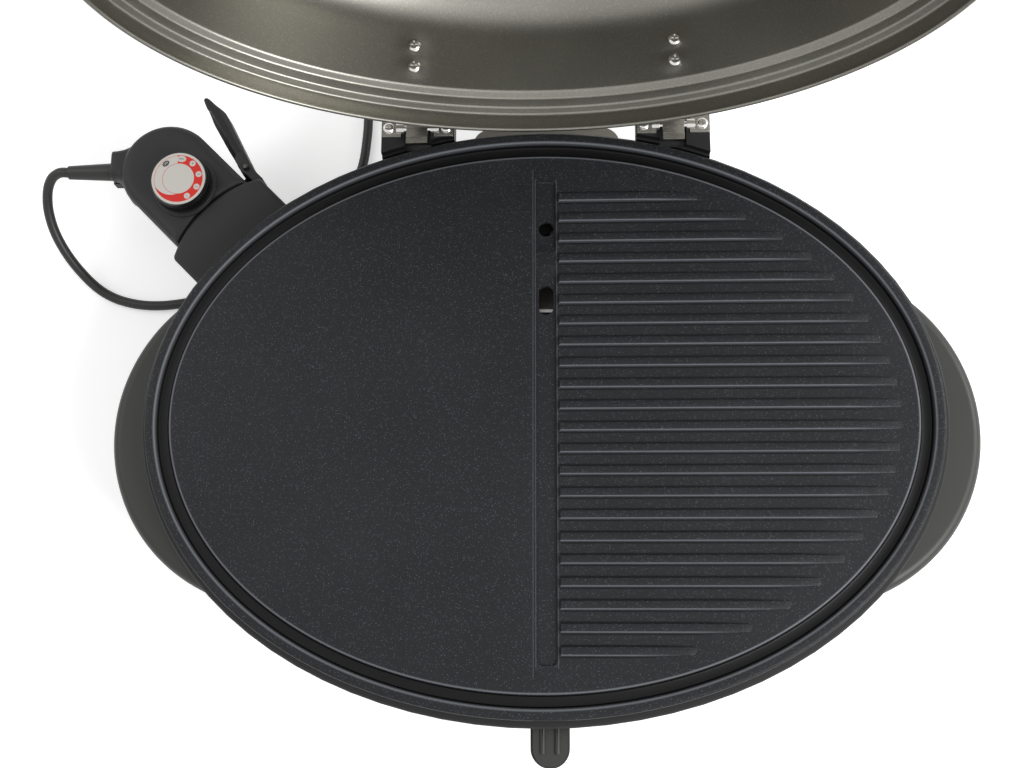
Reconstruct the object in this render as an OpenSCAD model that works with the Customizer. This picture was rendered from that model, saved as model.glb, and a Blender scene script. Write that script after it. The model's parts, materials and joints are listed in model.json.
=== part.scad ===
// Electric table grill: oval cast plate, half flat and half ribbed, under a hinged metal lid,
// on a moulded base with a slide-out drip tray and a plug-in thermostat with its mains lead

/* [Hot plate] */
// Half length of the oval plate, left to right
plate_a = 250; // [240:1:258]
// Half depth of the oval plate, front to back
plate_b = 186; // [180:1:190]
// Height of the plate's rim above the table
rim_z = 105; // [102:1:112]
// Width of the flat rim round the plate
rim_w = 7; // [6:0.5:9]
// Width of the fat groove inside the rim
groove_w = 8; // [6:0.5:9]
// Depth of the fat groove below the rim
groove_depth = 5; // [4:0.25:6]
// Depth of the flat cooking field below the rim
field_depth = 2.5; // [1.5:0.25:3.5]
// Thickness of the casting under the fat groove
cast_t = 3.5; // [3:0.25:4.5]
// How far the plate's rim stands above the base
rim_rise = 11; // [9:0.5:12]

/* [Grilling ribs] */
// Number of ribs on the right half
rib_count = 22; // [18:1:22]
// Distance from rib to rib
rib_pitch = 13.7; // [13:0.1:13.8]
// Width of one rib
rib_w = 5.7; // [4:0.1:7]
// Depth of the valleys between the ribs
rib_h = 2.4; // [1.5:0.1:3]
// Y of the back edge of the rearmost rib
rib_back = 145.3; // [140:0.1:147]
// Width of the border round the ribbed half
rib_border = 11; // [10:0.5:14]

/* [Drain] */
// X of the drain channel, the tray and the front tab
drain_x = 4; // [0:0.5:6]
// Width of the drain channel
drain_w = 13; // [11:0.5:15]
// Half length of the drain channel
drain_len = 154; // [150:1:156]
// Diameter of the round drain hole
drain_hole = 9.4; // [7:0.1:10]
// Y of the round drain hole
drain_hole_y = 122; // [119:1:126]
// Y of the middle of the drain slot
drain_slot_y = 74; // [70:1:76]
// Length of the drain slot
drain_slot_len = 19; // [14:1:20]

/* [Base] */
// How far the base stands out beyond the plate
base_over = 5; // [4:0.5:7]
// Wall thickness of the moulded base
wall = 3; // [2.5:0.25:3.5]
// Height of the rubber feet, and of the base floor above the table
foot_h = 20; // [18:1:22]
// Diameter of the rubber feet
foot_d = 26; // [20:1:30]
// Distance of the feet from the middle, left and right
foot_x = 150; // [140:1:160]
// Distance of the feet from the middle, front and back
foot_y = 88; // [80:1:95]
// How far the side handles reach beyond the side of the base
grip_out = 22.2; // [20:0.2:25]
// Length of a side handle along the base
grip_len = 196; // [180:1:200]
// Thickness of a side handle at its rim
grip_t = 16; // [14:1:18]
// Width of the front tab
tab_w = 24; // [20:1:28]
// How far the front tab reaches in front of the base
tab_reach = 24; // [20:1:28]

/* [Lid] */
// Height of the lid
lid_h = 92; // [85:1:98]
// How far the lid's edge stands out beyond the plate
lid_over = 4.8; // [4.5:0.1:5]
// Sheet thickness of the lid
lid_t = 1; // [0.8:0.1:1.4]
// Radius of the rolled bead at the lid's edge
bead_r = 1.5; // [1.2:0.1:1.8]
// Height of the lid's rolled edge above the top of the base
lid_lift = 1.8; // [1.8:0.1:2.6]
// Angle at which the lid stands open
lid_open = 96.5; // [94:0.5:98]

/* [Hinges] */
// X of the middle of the hinge pair
hinge_mid = 3.5; // [0:0.5:5]
// Distance of a hinge from the middle of the pair
hinge_half = 84; // [80:1:88]
// Distance of the hinge pin behind the plate's edge
hinge_back = 6.8; // [6.4:0.1:7.4]
// Depth of the hinge pin below the plate's rim
hinge_drop = 5.4; // [5:0.1:6]
// Diameter of the hinge pins
pin_d = 5; // [4.5:0.1:5.2]
// Width of the strap that carries the lid
strap_w = 14; // [12:0.5:15]
// Thickness of the strap
strap_t = 2; // [1.6:0.1:2.2]
// Length of the strap's foot below the pin
strap_foot = 13; // [10:0.5:14]
// Width of a hinge post
post_w = 48; // [46:1:50]
// Turning clearance of the pins, all round
pin_play = 0.06; // [0.03:0.01:0.1]

/* [Lid handle] */
// Length of the lid handle
bar_len = 150; // [130:1:160]
// Height of the lid handle off the lid
bar_rise = 34; // [30:1:38]
// Thickness of the lid handle
bar_d = 17; // [15:0.5:19]

/* [Drip tray] */
// Width of the drip tray
tray_w = 101; // [96:1:104]
// Length of the drip tray
tray_len = 128; // [120:1:132]
// Depth of the drip tray
tray_d = 22; // [18:1:24]
// Y of the back end of the drip tray
tray_back = 201; // [198:1:204]
// Wall thickness of the drip tray
tray_t = 1.4; // [1:0.1:1.8]
// How far the tray slides out
tray_travel = 120; // [100:1:130]

/* [Thermostat] */
// Width of the thermostat housing
box_w = 64; // [62:1:66]
// Thickness of the thermostat housing
box_t = 38; // [36:1:40]
// Distance of the plug-in axis from the middle of the plate
box_off = 55.4; // [53:0.2:57]
// Distance of the plug seam from the side of the base, measured along the plug-in axis
seam_out = 37.4; // [36:0.2:39]
// Distance from the seam to the centre of the round end
box_len = 42; // [40:1:44]
// Wall thickness of the housing
box_wall = 2.2; // [1.8:0.1:2.6]
// Depth of the thermostat's axis below the plate's rim
box_drop = 44; // [43:0.5:46]
// Distance of the knob from the seam
knob_s = 22.6; // [22:0.2:24]
// Diameter of the knurled knob
knob_d = 40; // [39:0.5:42]
// Diameter of the dial disc
dial_d = 36.4; // [34:0.2:38]
// Height of the knob
knob_h = 11.4; // [10:0.2:13]
// Number of grooves round the knob
knob_grooves = 40; // [30:1:48]
// Diameter of the sensor probe
probe_d = 6; // [5:0.5:6.5]
// Length of the sensor probe in front of the seam
probe_len = 82; // [75:1:88]
// Diameter of the terminal pins
term_d = 4; // [3.6:0.1:4.4]
// Distance between the terminal pins
term_gap = 30; // [28:1:32]

/* [Mains lead] */
// Diameter of the mains lead
lead_d = 7; // [6.6:0.1:7.2]
// Mean diameter of the wound coil
coil_d = 86; // [80:1:86]
// Turns of the wound coil
coil_turns = 5; // [5:1:6]

/* [Hidden] */

$fn = 48;
// Points round every oval
oval_n = 80;
// Gap between pieces that seat on each other
seat = 0.3;
// Play of pieces that slide
play = 0.5;

// Heights, all from the rim of the plate down or from the table up
base_top = rim_z - rim_rise;
base_a = plate_a + base_over;
base_b = plate_b + base_over;
grip_reach = base_a + grip_out;
lip_h = 8;
neck = 6;
floor_z = foot_h + wall;
groove_z = rim_z - groove_depth;
field_z = rim_z - field_depth;
valley_z = field_z - rib_h;
under_z = groove_z - cast_t;
skirt_w = rim_w + 0.5;

// Hinge line
hinge_y = plate_b + hinge_back;
hinge_z = rim_z - hinge_drop;
hinge_x = [hinge_mid - hinge_half, hinge_mid + hinge_half];
knuckle_r = pin_d / 2 + pin_play + strap_t;
saddle_t = 1.2;
post_top = hinge_z + 0.4;
recess_w = strap_w + 3;

// Lid, in the closed position
lid_a = plate_a + lid_over;
lid_b = plate_b + lid_over;
hem_z = base_top + lid_lift;
wall_low = [11.5, 15];
wall_high = [16.3, 45];
shoulder_r = lid_h - wall_high[1] - 3;

// Heating element
tube_d = 8;
element_z = under_z - tube_d / 2 - 1;
outer_loop = [205, 146];
inner_loop = [160, 97];
reflector_z = foot_h + 28;

// Tray
tray_top = element_z - tube_d / 2 - 9;
tray_z = tray_top - tray_d;

// Thermostat, in its own frame: X outward along the plug-in axis, Y across, Z up
axis_z = rim_z - box_drop;
box_r = box_w / 2;
// Where the plug-in axis crosses the side of the base
cross_a = 1 / pow(base_a, 2);
cross_b = 1 / pow(base_b, 2);
cross_lean = box_off * (cross_b - cross_a);
cross_root = sqrt(pow(cross_lean, 2)
    - (cross_a + cross_b) * (pow(box_off, 2) * (cross_a + cross_b) - 2));
seam_s = (cross_lean + cross_root) / (cross_a + cross_b) + seam_out;
box_end = seam_s + box_len;
seam_r = 77.2;
seam_cx = seam_s - seam_r;
box_top = axis_z + box_t / 2;
box_bottom = axis_z - box_t / 2;
nose_w = box_w - 8;
nose_t = box_t - 10;
nose_len = 24;
nose_x = seam_s - nose_len;
collar_wall = 7.5;
collar_w = box_w + 2 * collar_wall;
block_x = nose_x - 12;
block_t = 8;
collar_back = block_x - 21;
collar_bottom = box_bottom - 4;
collar_h = box_t + 7.6;
knob_x = seam_s + knob_s;
knob_z = box_top + 3.2;
shaft_d = 6;
lever_x = seam_s + 6;
lever_y = -box_r - 7;
lever_r = 4.5;
lever_z = axis_z - 11;
lever_h = 22;
relief_len = 32;
sleeve_d = 13;

// Where the lead leaves the housing, and the free lead's hand-placed points down to the coil
relief_x = -329;
lead_y = 181;
lead_side = lead_y - (box_end - box_off) * sin(45);
plug_r = 18.5;
lead_route = [
    [-329, 181, 61], [-336, 181, 61], [-343, 178, 57], [-348, 171, 50], [-350, 160, 41],
    [-348, 147, 31], [-342, 134, 21], [-333, 122, 12], [-322, 112, 5.5], [-308, 105, 3.5],
    [-290, 101, 3.5], [-270, 101, 3.5], [-248, 105, 3.5], [-226, 113, 3.5], [-203, 125, 3.5],
    [-180, 141, 3.5], [-158, 160, 3.5], [-142, 182, 3.5], [-133, 206, 3.5], [-130, 230, 3.5],
    [-129, 247, 3.5], [-124, 260, 3.5], [-114, 267, 3.5]];
coil_step = lead_d + 0.5;
coil_out = coil_d / 2 + 0.625 * coil_step;
coil_at = [-95, 267 + coil_out];
coil_start = [coil_at[0] - lead_d, 267, lead_d / 2];

// Middle of the box round the object at rest without its lead, which the origin stands under
neck_reach = 42.4;
box_left = (box_end + box_off) * sin(45) + neck_reach;
box_mid_x = (grip_reach - box_left) / 2;
box_back = max([for (p = lid_outer()) hinge_y - (lid_b - p[0] + hinge_y) * cos(lid_open)
    + (rim_z + p[1] - hinge_z) * sin(lid_open)]);
box_mid_y = (box_back - base_b - tab_reach) / 2;

// Points on an oval
function oval(a, b, z) = [for (i = [0:oval_n - 1])
    let (t = 360 * i / oval_n) [a * cos(t), b * sin(t), z]];
function oval_y(a, b, x) = b * sqrt(max(0, 1 - pow(x / a, 2)));
function oval_x(a, b, y) = a * sqrt(max(0, 1 - pow(y / b, 2)));

module oval_2d(a, b) {
    polygon([for (p = oval(a, b, 0)) [p[0], p[1]]]);
}

module oval_slab(a, b, z, h) {
    translate([0, 0, z]) linear_extrude(h) oval_2d(a, b);
}

// Closed skin through a list of ovals, each [half length, half depth, height]
module oval_loft(rings) {
    n = oval_n;
    last = len(rings) - 1;
    pts = [for (r = rings) each oval(r[0], r[1], r[2])];
    sides = [for (k = [0:last - 1], i = [0:n - 1], half = [0, 1])
        let (j = (i + 1) % n)
            half == 0 ? [k * n + i, (k + 1) * n + i, k * n + j]
                : [(k + 1) * n + i, (k + 1) * n + j, k * n + j]];
    bottom = [for (i = [0:n - 1]) i];
    top = [for (i = [n - 1:-1:0]) last * n + i];
    polyhedron(points = pts, faces = concat([bottom], sides, [top]));
}

// Round tube through a list of points
function unit(v) = v / norm(v);
function path_dir(p, i) = unit(p[min(i + 1, len(p) - 1)] - p[max(i - 1, 0)]);
function ring_at(p, i, r, sides) =
    let (d = path_dir(p, i), s = unit(cross(d, [0, 0, 1])), u = cross(s, d))
        [for (k = [0:sides - 1])
            let (t = 360 * k / sides) p[i] + r * (cos(t) * s + sin(t) * u)];

module tube(p, r, sides) {
    last = len(p) - 1;
    pts = [for (i = [0:last]) each ring_at(p, i, r, sides)];
    skin = [for (i = [0:last - 1], k = [0:sides - 1], half = [0, 1])
        let (m = (k + 1) % sides)
            half == 0 ? [i * sides + k, i * sides + m, (i + 1) * sides + k]
                : [i * sides + m, (i + 1) * sides + m, (i + 1) * sides + k]];
    start = [for (k = [sides - 1:-1:0]) k];
    end = [for (k = [0:sides - 1]) last * sides + k];
    polyhedron(points = pts, faces = concat([start], skin, [end]));
}

// Places
module placed() {
    translate([-box_mid_x, -box_mid_y, 0]) children();
}

module plug_frame() {
    rotate([0, 0, 135]) translate([0, box_off, 0]) children();
}

module lid_swing() {
    translate([0, hinge_y, hinge_z]) rotate([-lid_open, 0, 0])
        translate([0, -hinge_y, -hinge_z]) children();
}

module at_feet() {
    for (x = [-foot_x, foot_x], y = [-foot_y, foot_y]) translate([x, y, 0]) children();
}

module screw_head(d, h) {
    difference() {
        union() {
            cylinder(d = d, h = h * 0.6);
            translate([0, 0, h * 0.6]) cylinder(d1 = d, d2 = d * 0.7, h = h * 0.4);
        }
        for (a = [0, 90]) rotate([0, 0, a]) translate([-d * 0.3, -d * 0.06, h * 0.5])
            cube([d * 0.6, d * 0.12, h]);
    }
}

// Base
function base_ring(inset, z) = [base_a - inset, base_b - inset, z];

module base_outside() {
    oval_loft([
        base_ring(36, foot_h),
        base_ring(27, foot_h + 3),
        base_ring(15, foot_h + 13),
        base_ring(neck, foot_h + 26),
        base_ring(neck, base_top - lip_h - 3),
        base_ring(0, base_top - lip_h),
        base_ring(0, base_top - 1),
        base_ring(1, base_top)]);
}

module base_inside() {
    oval_loft([
        base_ring(38, floor_z),
        base_ring(29, floor_z + 3),
        base_ring(15 + wall, foot_h + 14),
        base_ring(neck + wall, foot_h + 28),
        base_ring(neck + wall, base_top - 9),
        base_ring(12, base_top - 5),
        base_ring(12, base_top + 1)]);
}

boss_x = 120;
boss_yy = 66;

module at_bosses() {
    for (x = [-boss_x, boss_x], y = [-boss_yy, boss_yy]) translate([x, y, 0]) children();
}

module base_shell() {
    color("#26272a") {
        difference() {
            base_outside();
            base_inside();
            tray_bay();
            plug_frame() collar_hole();
            at_feet() translate([0, 0, foot_h - 1]) cylinder(d = 5, h = wall + 2);
            vents();
            for (x = hinge_x) strap_sweep(x);
        }
        at_bosses() difference() {
            translate([0, 0, floor_z - 0.5])
                cylinder(d = 14, h = reflector_z - floor_z + 0.5 - seat);
            translate([0, 0, floor_z + 2]) cylinder(d = 3, h = reflector_z);
        }
    }
}

module vents() {
    for (x = [-60:24:60]) translate([x - 3, -30, foot_h - 1]) cube([6, 60, wall + 2]);
}

module tray_bay() {
    translate([drain_x - tray_w / 2 - 2, tray_back - tray_len, tray_z - 3.6])
        cube([tray_w + 4, tray_len, tray_d + 5.6]);
}

module collar_hole() {
    translate([collar_back - 12, -collar_w / 2 - seat, collar_bottom - seat])
        cube([80, collar_w + 2 * seat, collar_h + 2 * seat]);
}

// Side handles: flat on top, with a rounded outer edge and a hollow for the fingers below
grip_z = base_top - lip_h - seat;
grip_gap = 0.3;

// Outside of the base with a gap all round, to fit pieces against it
module against_base() {
    oval_loft([
        base_ring(neck - grip_gap, floor_z),
        base_ring(neck - grip_gap, base_top - lip_h - 3.3),
        base_ring(-grip_gap, base_top - lip_h - 0.3),
        base_ring(-grip_gap, rim_z)]);
}

function grip_round() =
    let (deep = grip_reach - oval_x(base_a, base_b, grip_len / 2), half = grip_len / 2)
        (half * half + deep * deep) / (2 * deep);

module grip_2d(inset) {
    r = grip_round();
    difference() {
        translate([grip_reach - r, -8]) circle(r = r - inset, $fn = 120);
        oval_2d(base_a - neck + grip_gap + inset, base_b - neck + grip_gap + inset);
        translate([-2 * grip_reach, -grip_reach]) square([2 * grip_reach + 150, 2 * grip_reach]);
    }
}

module side_handle() {
    difference() {
        union() {
            translate([0, 0, grip_z - grip_t]) linear_extrude(grip_t - 6) grip_2d(0);
            translate([0, 0, grip_z - 6]) linear_extrude(3) grip_2d(1.2);
            translate([0, 0, grip_z - 3]) linear_extrude(1.5) grip_2d(3);
            translate([0, 0, grip_z - 1.5]) linear_extrude(1.5) grip_2d(5.5);
        }
        translate([0, 0, grip_z - grip_t - 1]) linear_extrude(grip_t - 4) grip_2d(4.5);
        mirror([1, 0, 0]) plug_frame() translate([0, -collar_w / 2 - grip_gap, 0])
            cube([base_a, collar_w + 2 * grip_gap, rim_z]);
    }
}

module right_handle() {
    color("#3a3b3a") side_handle();
}

module left_handle() {
    color("#3a3b3a") mirror([1, 0, 0]) side_handle();
}

// Front tab with two soft ridges
tab_z = base_top - lip_h - seat;

module front_tab() {
    color("#3b3b38") difference() {
        translate([drain_x + 1.3, 0, 0]) {
            tab_body(tab_w, 0, tab_z - 14, 9);
            tab_body(tab_w - 3, 1.5, tab_z - 5, 3.4);
            for (x = [-4.5, 4.5]) translate([x, -base_b - tab_reach + 9, tab_z - 1.8])
                rotate([-90, 0, 0]) cylinder(d = 3.6, h = tab_reach + neck - 9.6, $fn = 24);
        }
        against_base();
    }
}

module tab_body(w, inset, z, h) {
    translate([0, 0, z]) linear_extrude(h) union() {
        translate([0, -base_b - tab_reach + w / 2 + inset]) circle(d = w);
        translate([-w / 2, -base_b - tab_reach + w / 2 + inset])
            square([w, tab_reach + neck + 6 - w / 2]);
    }
}

// Feet
module rubber_feet() {
    color("#1c1c1c") at_feet() difference() {
        union() {
            cylinder(d1 = foot_d - 4, d2 = foot_d, h = foot_h - 6);
            translate([0, 0, foot_h - 6]) cylinder(d = foot_d, h = 6);
        }
        translate([0, 0, -1]) cylinder(d = 11, h = foot_h - 7);
        cylinder(d = 5, h = foot_h + 1);
    }
}

module foot_screws() {
    color("silver") at_feet() {
        translate([0, 0, foot_h - 8]) rotate([180, 0, 0]) translate([0, 0, 0]) screw_head(9, 3);
        translate([0, 0, foot_h - 8.2]) cylinder(d = 4, h = 8.2 + wall + 6);
        translate([0, 0, floor_z + 0.1]) cylinder(d = 8, h = 3.2, $fn = 6);
    }
}

// Sheet-metal pan under the element
module heat_reflector() {
    color("#b9bcbd") difference() {
        oval_loft([
            base_ring(62, reflector_z),
            base_ring(45, reflector_z),
            base_ring(24, element_z - 6),
            base_ring(18, element_z - 6),
            base_ring(18, element_z - 5),
            base_ring(25, element_z - 5),
            base_ring(45.6, reflector_z + 1),
            base_ring(62, reflector_z + 1)]);
        translate([drain_x - tray_w / 2 - 4, tray_back - tray_len - 4, 0])
            cube([tray_w + 8, tray_len + 8, rim_z]);
        plug_frame() translate([block_x - 50, -collar_w / 2 - 1, reflector_z + 4])
            cube([120, collar_w + 2, rim_z]);
        at_bosses() cylinder(d = 4.2, h = rim_z);
    }
}

module reflector_screws() {
    color("silver") at_bosses() {
        translate([0, 0, reflector_z + 1.05]) screw_head(8, 2.6);
        translate([0, 0, reflector_z - 12]) cylinder(d = 2.9, h = 13.2);
    }
}

// Tubular heating element: an outer and an inner loop joined at one end
gap_at = 134;
gap_half = 11;

function loop_point(size, t, z) = [size[0] * cos(t), size[1] * sin(t), z];
function plug_point(s, y, z) = [-s * sin(45) - (y + box_off) * sin(45),
    s * sin(45) - (y + box_off) * sin(45), z];

function element_path() =
    let (step = 9, first = gap_at + gap_half, last = gap_at + 360 - gap_half,
        mid = (outer_loop + inner_loop) / 2)
        concat(
            [plug_point(block_x - 0.5, term_gap / 2, axis_z),
                plug_point(block_x - 14, term_gap / 2, axis_z),
                plug_point(block_x - 24, term_gap / 2 + 1, axis_z + 4),
                plug_point(block_x - 40, term_gap / 2 + 1, element_z - 6)],
            [for (t = [first + 8:step:last - 1]) loop_point(outer_loop, t, element_z)],
            [loop_point(outer_loop, last + 0.5, element_z),
                loop_point(outer_loop - [7, 8], last + 6, element_z),
                loop_point(mid, last + 8.5, element_z),
                loop_point(inner_loop + [7, 8], last + 6, element_z),
                loop_point(inner_loop, last, element_z)],
            [for (t = [last - step:-step:first + 1]) loop_point(inner_loop, t, element_z)],
            [plug_point(block_x - 46, -term_gap / 2 - 1, element_z - 3),
                plug_point(block_x - 26, -term_gap / 2 - 1, axis_z + 5),
                plug_point(block_x - 14, -term_gap / 2, axis_z),
                plug_point(block_x - 0.5, -term_gap / 2, axis_z)]);

module heating_element() {
    color("#5a5754") tube(element_path(), tube_d / 2, 8);
}

// Bent brackets that hold the element over the pan
module element_supports() {
    color("#a9abad") for (t = [20, 60, 250, 290]) support_at(t);
}

module support_at(t) {
    p = loop_point(outer_loop, t, 0);
    q = loop_point(inner_loop, t, 0);
    foot = reflector_z + 1 + seat;
    saddle = element_z - tube_d / 2 - seat - 1;
    len_pq = norm(p - q) + 14;
    translate((p + q) / 2) rotate([0, 0, atan2(p[1] - q[1], p[0] - q[0])]) {
        translate([-len_pq / 2, -5, saddle]) cube([len_pq, 10, 1]);
        for (x = [-8, 7]) translate([x, -5, foot]) cube([1, 10, saddle - foot + 0.5]);
        for (x = [-14, 7]) translate([x, -5, foot]) cube([7.5, 10, 1]);
    }
}

// Ceramic block, pins and collar that the thermostat plugs into
module terminal_block() {
    color("#e6e2d8") plug_frame() difference() {
        translate([block_x, -term_gap / 2 - 9, axis_z - 10])
            cube([block_t, term_gap + 18, 20]);
        for (y = [-1, 1]) translate([block_x - 1, y * term_gap / 2, axis_z])
            rotate([0, 90, 0]) cylinder(d = term_d + 0.1, h = block_t + 2);
        translate([block_x - 1, 0, axis_z]) rotate([0, 90, 0])
            cylinder(d = probe_d + 2, h = block_t + 2);
    }
}

module terminal_pins() {
    color("silver") plug_frame() for (y = [-1, 1])
        translate([block_x - 0.4, y * term_gap / 2, axis_z]) rotate([0, 90, 0]) {
            cylinder(d = term_d, h = 27);
            translate([0, 0, 27]) cylinder(d1 = term_d, d2 = term_d - 2, h = 1.5);
            translate([0, 0, block_t + 0.5]) cylinder(d = term_d + 3, h = 1.5);
        }
}

module collar_2d() {
    half = collar_w / 2;
    corner = 4;
    corner_x = seam_cx + sqrt(pow(seam_r - corner, 2) - pow(half - corner, 2));
    translate([collar_back, -half]) square([corner_x - collar_back, collar_w]);
    for (y = [-1, 1]) translate([corner_x, y * (half - corner)]) circle(r = corner);
    intersection() {
        translate([seam_cx, 0]) circle(r = seam_r, $fn = 160);
        translate([corner_x - 10, corner - half]) square([60, collar_w - 2 * corner]);
    }
}

module plug_collar() {
    room = nose_w + 2 * play;
    high = nose_t + 2 * play;
    color("#2c2d2f") plug_frame() difference() {
        translate([0, 0, collar_bottom]) linear_extrude(collar_h) collar_2d();
        translate([nose_x - 3, -room / 2, axis_z - high / 2]) cube([60, room, high]);
        translate([collar_back - 1, 5 - room / 2, axis_z - high / 2])
            cube([block_x - collar_back - 2, room - 10, high]);
        translate([block_x - 0.2, -term_gap / 2 - 9.2, axis_z - 10.2])
            cube([block_t + 20, term_gap + 18.4, 20.4]);
        for (y = [-1, 1]) translate([block_x - 20, y * term_gap / 2, axis_z])
            rotate([0, 90, 0]) cylinder(d = tube_d + 1.2, h = 20.5);
        translate([block_x - 20, 0, axis_z]) rotate([0, 90, 0])
            cylinder(d = probe_d + 2, h = 22);
    }
}

// Hinge posts, bolted to the rim and wall of the base
// Room for the strap's foot to swing in
module strap_sweep(x) {
    translate([x - recess_w / 2, hinge_y, hinge_z]) rotate([0, 90, 0])
        cylinder(r = norm([knuckle_r, strap_foot]) + play, h = recess_w);
}

module hinge_post(x) {
    low = base_top - lip_h - 34;
    color("#232325") difference() {
        union() {
            translate([0, 0, low]) linear_extrude(base_top - lip_h - 3.5 - low) difference() {
                post_plan(x, 3);
                oval_2d(base_a - neck + 0.05, base_b - neck + 0.05);
            }
            translate([0, 0, base_top - lip_h - 3.5]) linear_extrude(lip_h + 4.5) difference() {
                post_plan(x, 0);
                oval_2d(base_a + seat, base_b + seat);
            }
            translate([0, 0, base_top + 0.9]) linear_extrude(post_top - base_top - 0.9)
                difference() {
                    post_plan(x, 0);
                    oval_2d(base_a + 2, base_b + 2);
                }
        }
        translate([x - recess_w / 2, hinge_y - knuckle_r - 1.5, base_top - 8])
            cube([recess_w, 2 * knuckle_r + 20, rim_z]);
        strap_sweep(x);
        translate([x - post_w, hinge_y, hinge_z]) rotate([0, 90, 0])
            translate([0, 0, post_w / 2 + 8]) cylinder(d = pin_d + 0.04, h = post_w - 16);
        for (s = [-1, 1]) translate([x + s * 19, hinge_y, post_top - 9]) cylinder(d = 3, h = 12);
    }
}

module post_plan(x, inset) {
    intersection() {
        translate([x - post_w / 2 + inset, 140])
            square([post_w - 2 * inset, hinge_y + 9 - inset - 140]);
        difference() {
            square([4 * base_a, 4 * base_b], center = true);
            oval_2d(base_a - neck, base_b - neck);
        }
    }
}

module hinge_post_left() {
    hinge_post(hinge_x[0]);
}

module hinge_post_right() {
    hinge_post(hinge_x[1]);
}

// Stainless plate over the pin: a saddle on each side of the strap, joined behind it
module hinge_plate(x) {
    bar_y = hinge_y + knuckle_r + 0.7;
    color("#c9c9c4") difference() {
        union() {
            for (s = [-1, 1]) {
                translate([x + s * 17.2 - 6.2, hinge_y - 6, post_top + 0.02])
                    cube([12.4, bar_y + 2.2 - hinge_y + 6, saddle_t]);
                translate([x + s * 11.4 - 2.6, hinge_y, hinge_z]) rotate([0, 90, 0])
                    cylinder(d = pin_d + 2 * saddle_t + 0.4, h = 5.2);
            }
            translate([x - 12, bar_y, post_top - 2.2]) cube([24, 2.2, 3.2]);
        }
        translate([x - 14, hinge_y, hinge_z]) rotate([0, 90, 0])
            cylinder(d = pin_d + 0.1, h = 28);
        for (s = [-1, 1]) {
            translate([x + s * (recess_w / 2 + 15) - 15, hinge_y - 20, 0])
                cube([30, 40, post_top + 0.02]);
            translate([x + s * 19, hinge_y, 0]) cylinder(d = 3.4, h = rim_z);
        }
        translate([x - 12, bar_y - 20, 0]) cube([24, 20, hinge_z - 2.2]);
    }
}

module hinge_plate_left() {
    hinge_plate(hinge_x[0]);
}

module hinge_plate_right() {
    hinge_plate(hinge_x[1]);
}

module hinge_pins() {
    color("#d2d2ce") for (x = hinge_x) translate([x - 13.8, hinge_y, hinge_z])
        rotate([0, 90, 0]) cylinder(d = pin_d, h = 27.6);
}

module hinge_screws() {
    color("#d2d2ce") for (x = hinge_x, s = [-1, 1])
        translate([x + s * 19, hinge_y, post_top + saddle_t + 0.04]) {
            screw_head(7.4, 2);
            translate([0, 0, -9]) cylinder(d = 2.9, h = 9.2);
        }
}

// Rails that the drip tray runs on
module tray_rails() {
    color("#26272a") for (s = [-1, 1]) translate([drain_x + s * (tray_w / 2 - 4), 0, 0]) {
        translate([-4, tray_back - tray_len + 2, tray_z - 3.2]) cube([8, tray_len - 20, 2.7]);
        for (y = [tray_back - tray_len + 12, tray_back - 64])
            translate([0, y, floor_z + 0.1]) cylinder(d = 8, h = tray_z - 3.1 - floor_z);
    }
}

// Cast plate; its edge draws in below the rim, clear of the lid's rolled edge
function plate_ring(inset, z) = [plate_a - inset, plate_b - inset, z];

module grill_plate() {
    color("#2b2c2f") difference() {
        union() {
            oval_loft([
                plate_ring(skirt_w + 1, under_z),
                plate_ring(skirt_w, under_z - 1),
                plate_ring(skirt_w, base_top + seat),
                plate_ring(2.2, base_top + seat),
                plate_ring(1.2, hinge_z),
                plate_ring(0.2, rim_z - 2.4),
                plate_ring(0, rim_z - 1.4),
                plate_ring(0.3, rim_z - 0.4),
                plate_ring(1, rim_z)]);
            spouts();
        }
        groove();
        field();
        drain();
    }
}

module groove() {
    difference() {
        oval_slab(plate_a - rim_w, plate_b - rim_w, groove_z, groove_depth + 1);
        oval_slab(plate_a - rim_w - groove_w, plate_b - rim_w - groove_w, 0, rim_z + 2);
    }
}

module field() {
    inset = rim_w + groove_w;
    oval_slab(plate_a - inset + 0.01, plate_b - inset + 0.01, field_z, field_depth + 1);
    difference() {
        translate([0, 0, valley_z]) linear_extrude(rib_h + 1) valley_2d(0);
        ribs();
    }
}

// Plan of the recessed right half, inside its border
module valley_2d(inset) {
    edge = rim_w + groove_w + rib_border + inset;
    intersection() {
        oval_2d(plate_a - edge, plate_b - edge);
        translate([drain_x + drain_w / 2 + 1.5 + inset, -plate_b])
            square([plate_a, 2 * plate_b]);
    }
}

function rib_tip(y) =
    let (edge = rim_w + groove_w + rib_border)
        oval_x(plate_a - edge, plate_b - edge, y) + 2;

module ribs() {
    start = drain_x + drain_w / 2 + 3;
    for (i = [0:rib_count - 1]) {
        back = rib_back - i * rib_pitch;
        mid = back - rib_w / 2;
        tip = rib_tip(mid);
        taper = min(36, tip / 3);
        translate([0, 0, valley_z - 1]) linear_extrude(rib_h + 1) polygon([
            [start, back], [tip - taper, back], [tip, mid + 0.6],
            [tip, mid - 0.6], [tip - taper, back - rib_w], [start, back - rib_w]]);
    }
}

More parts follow.
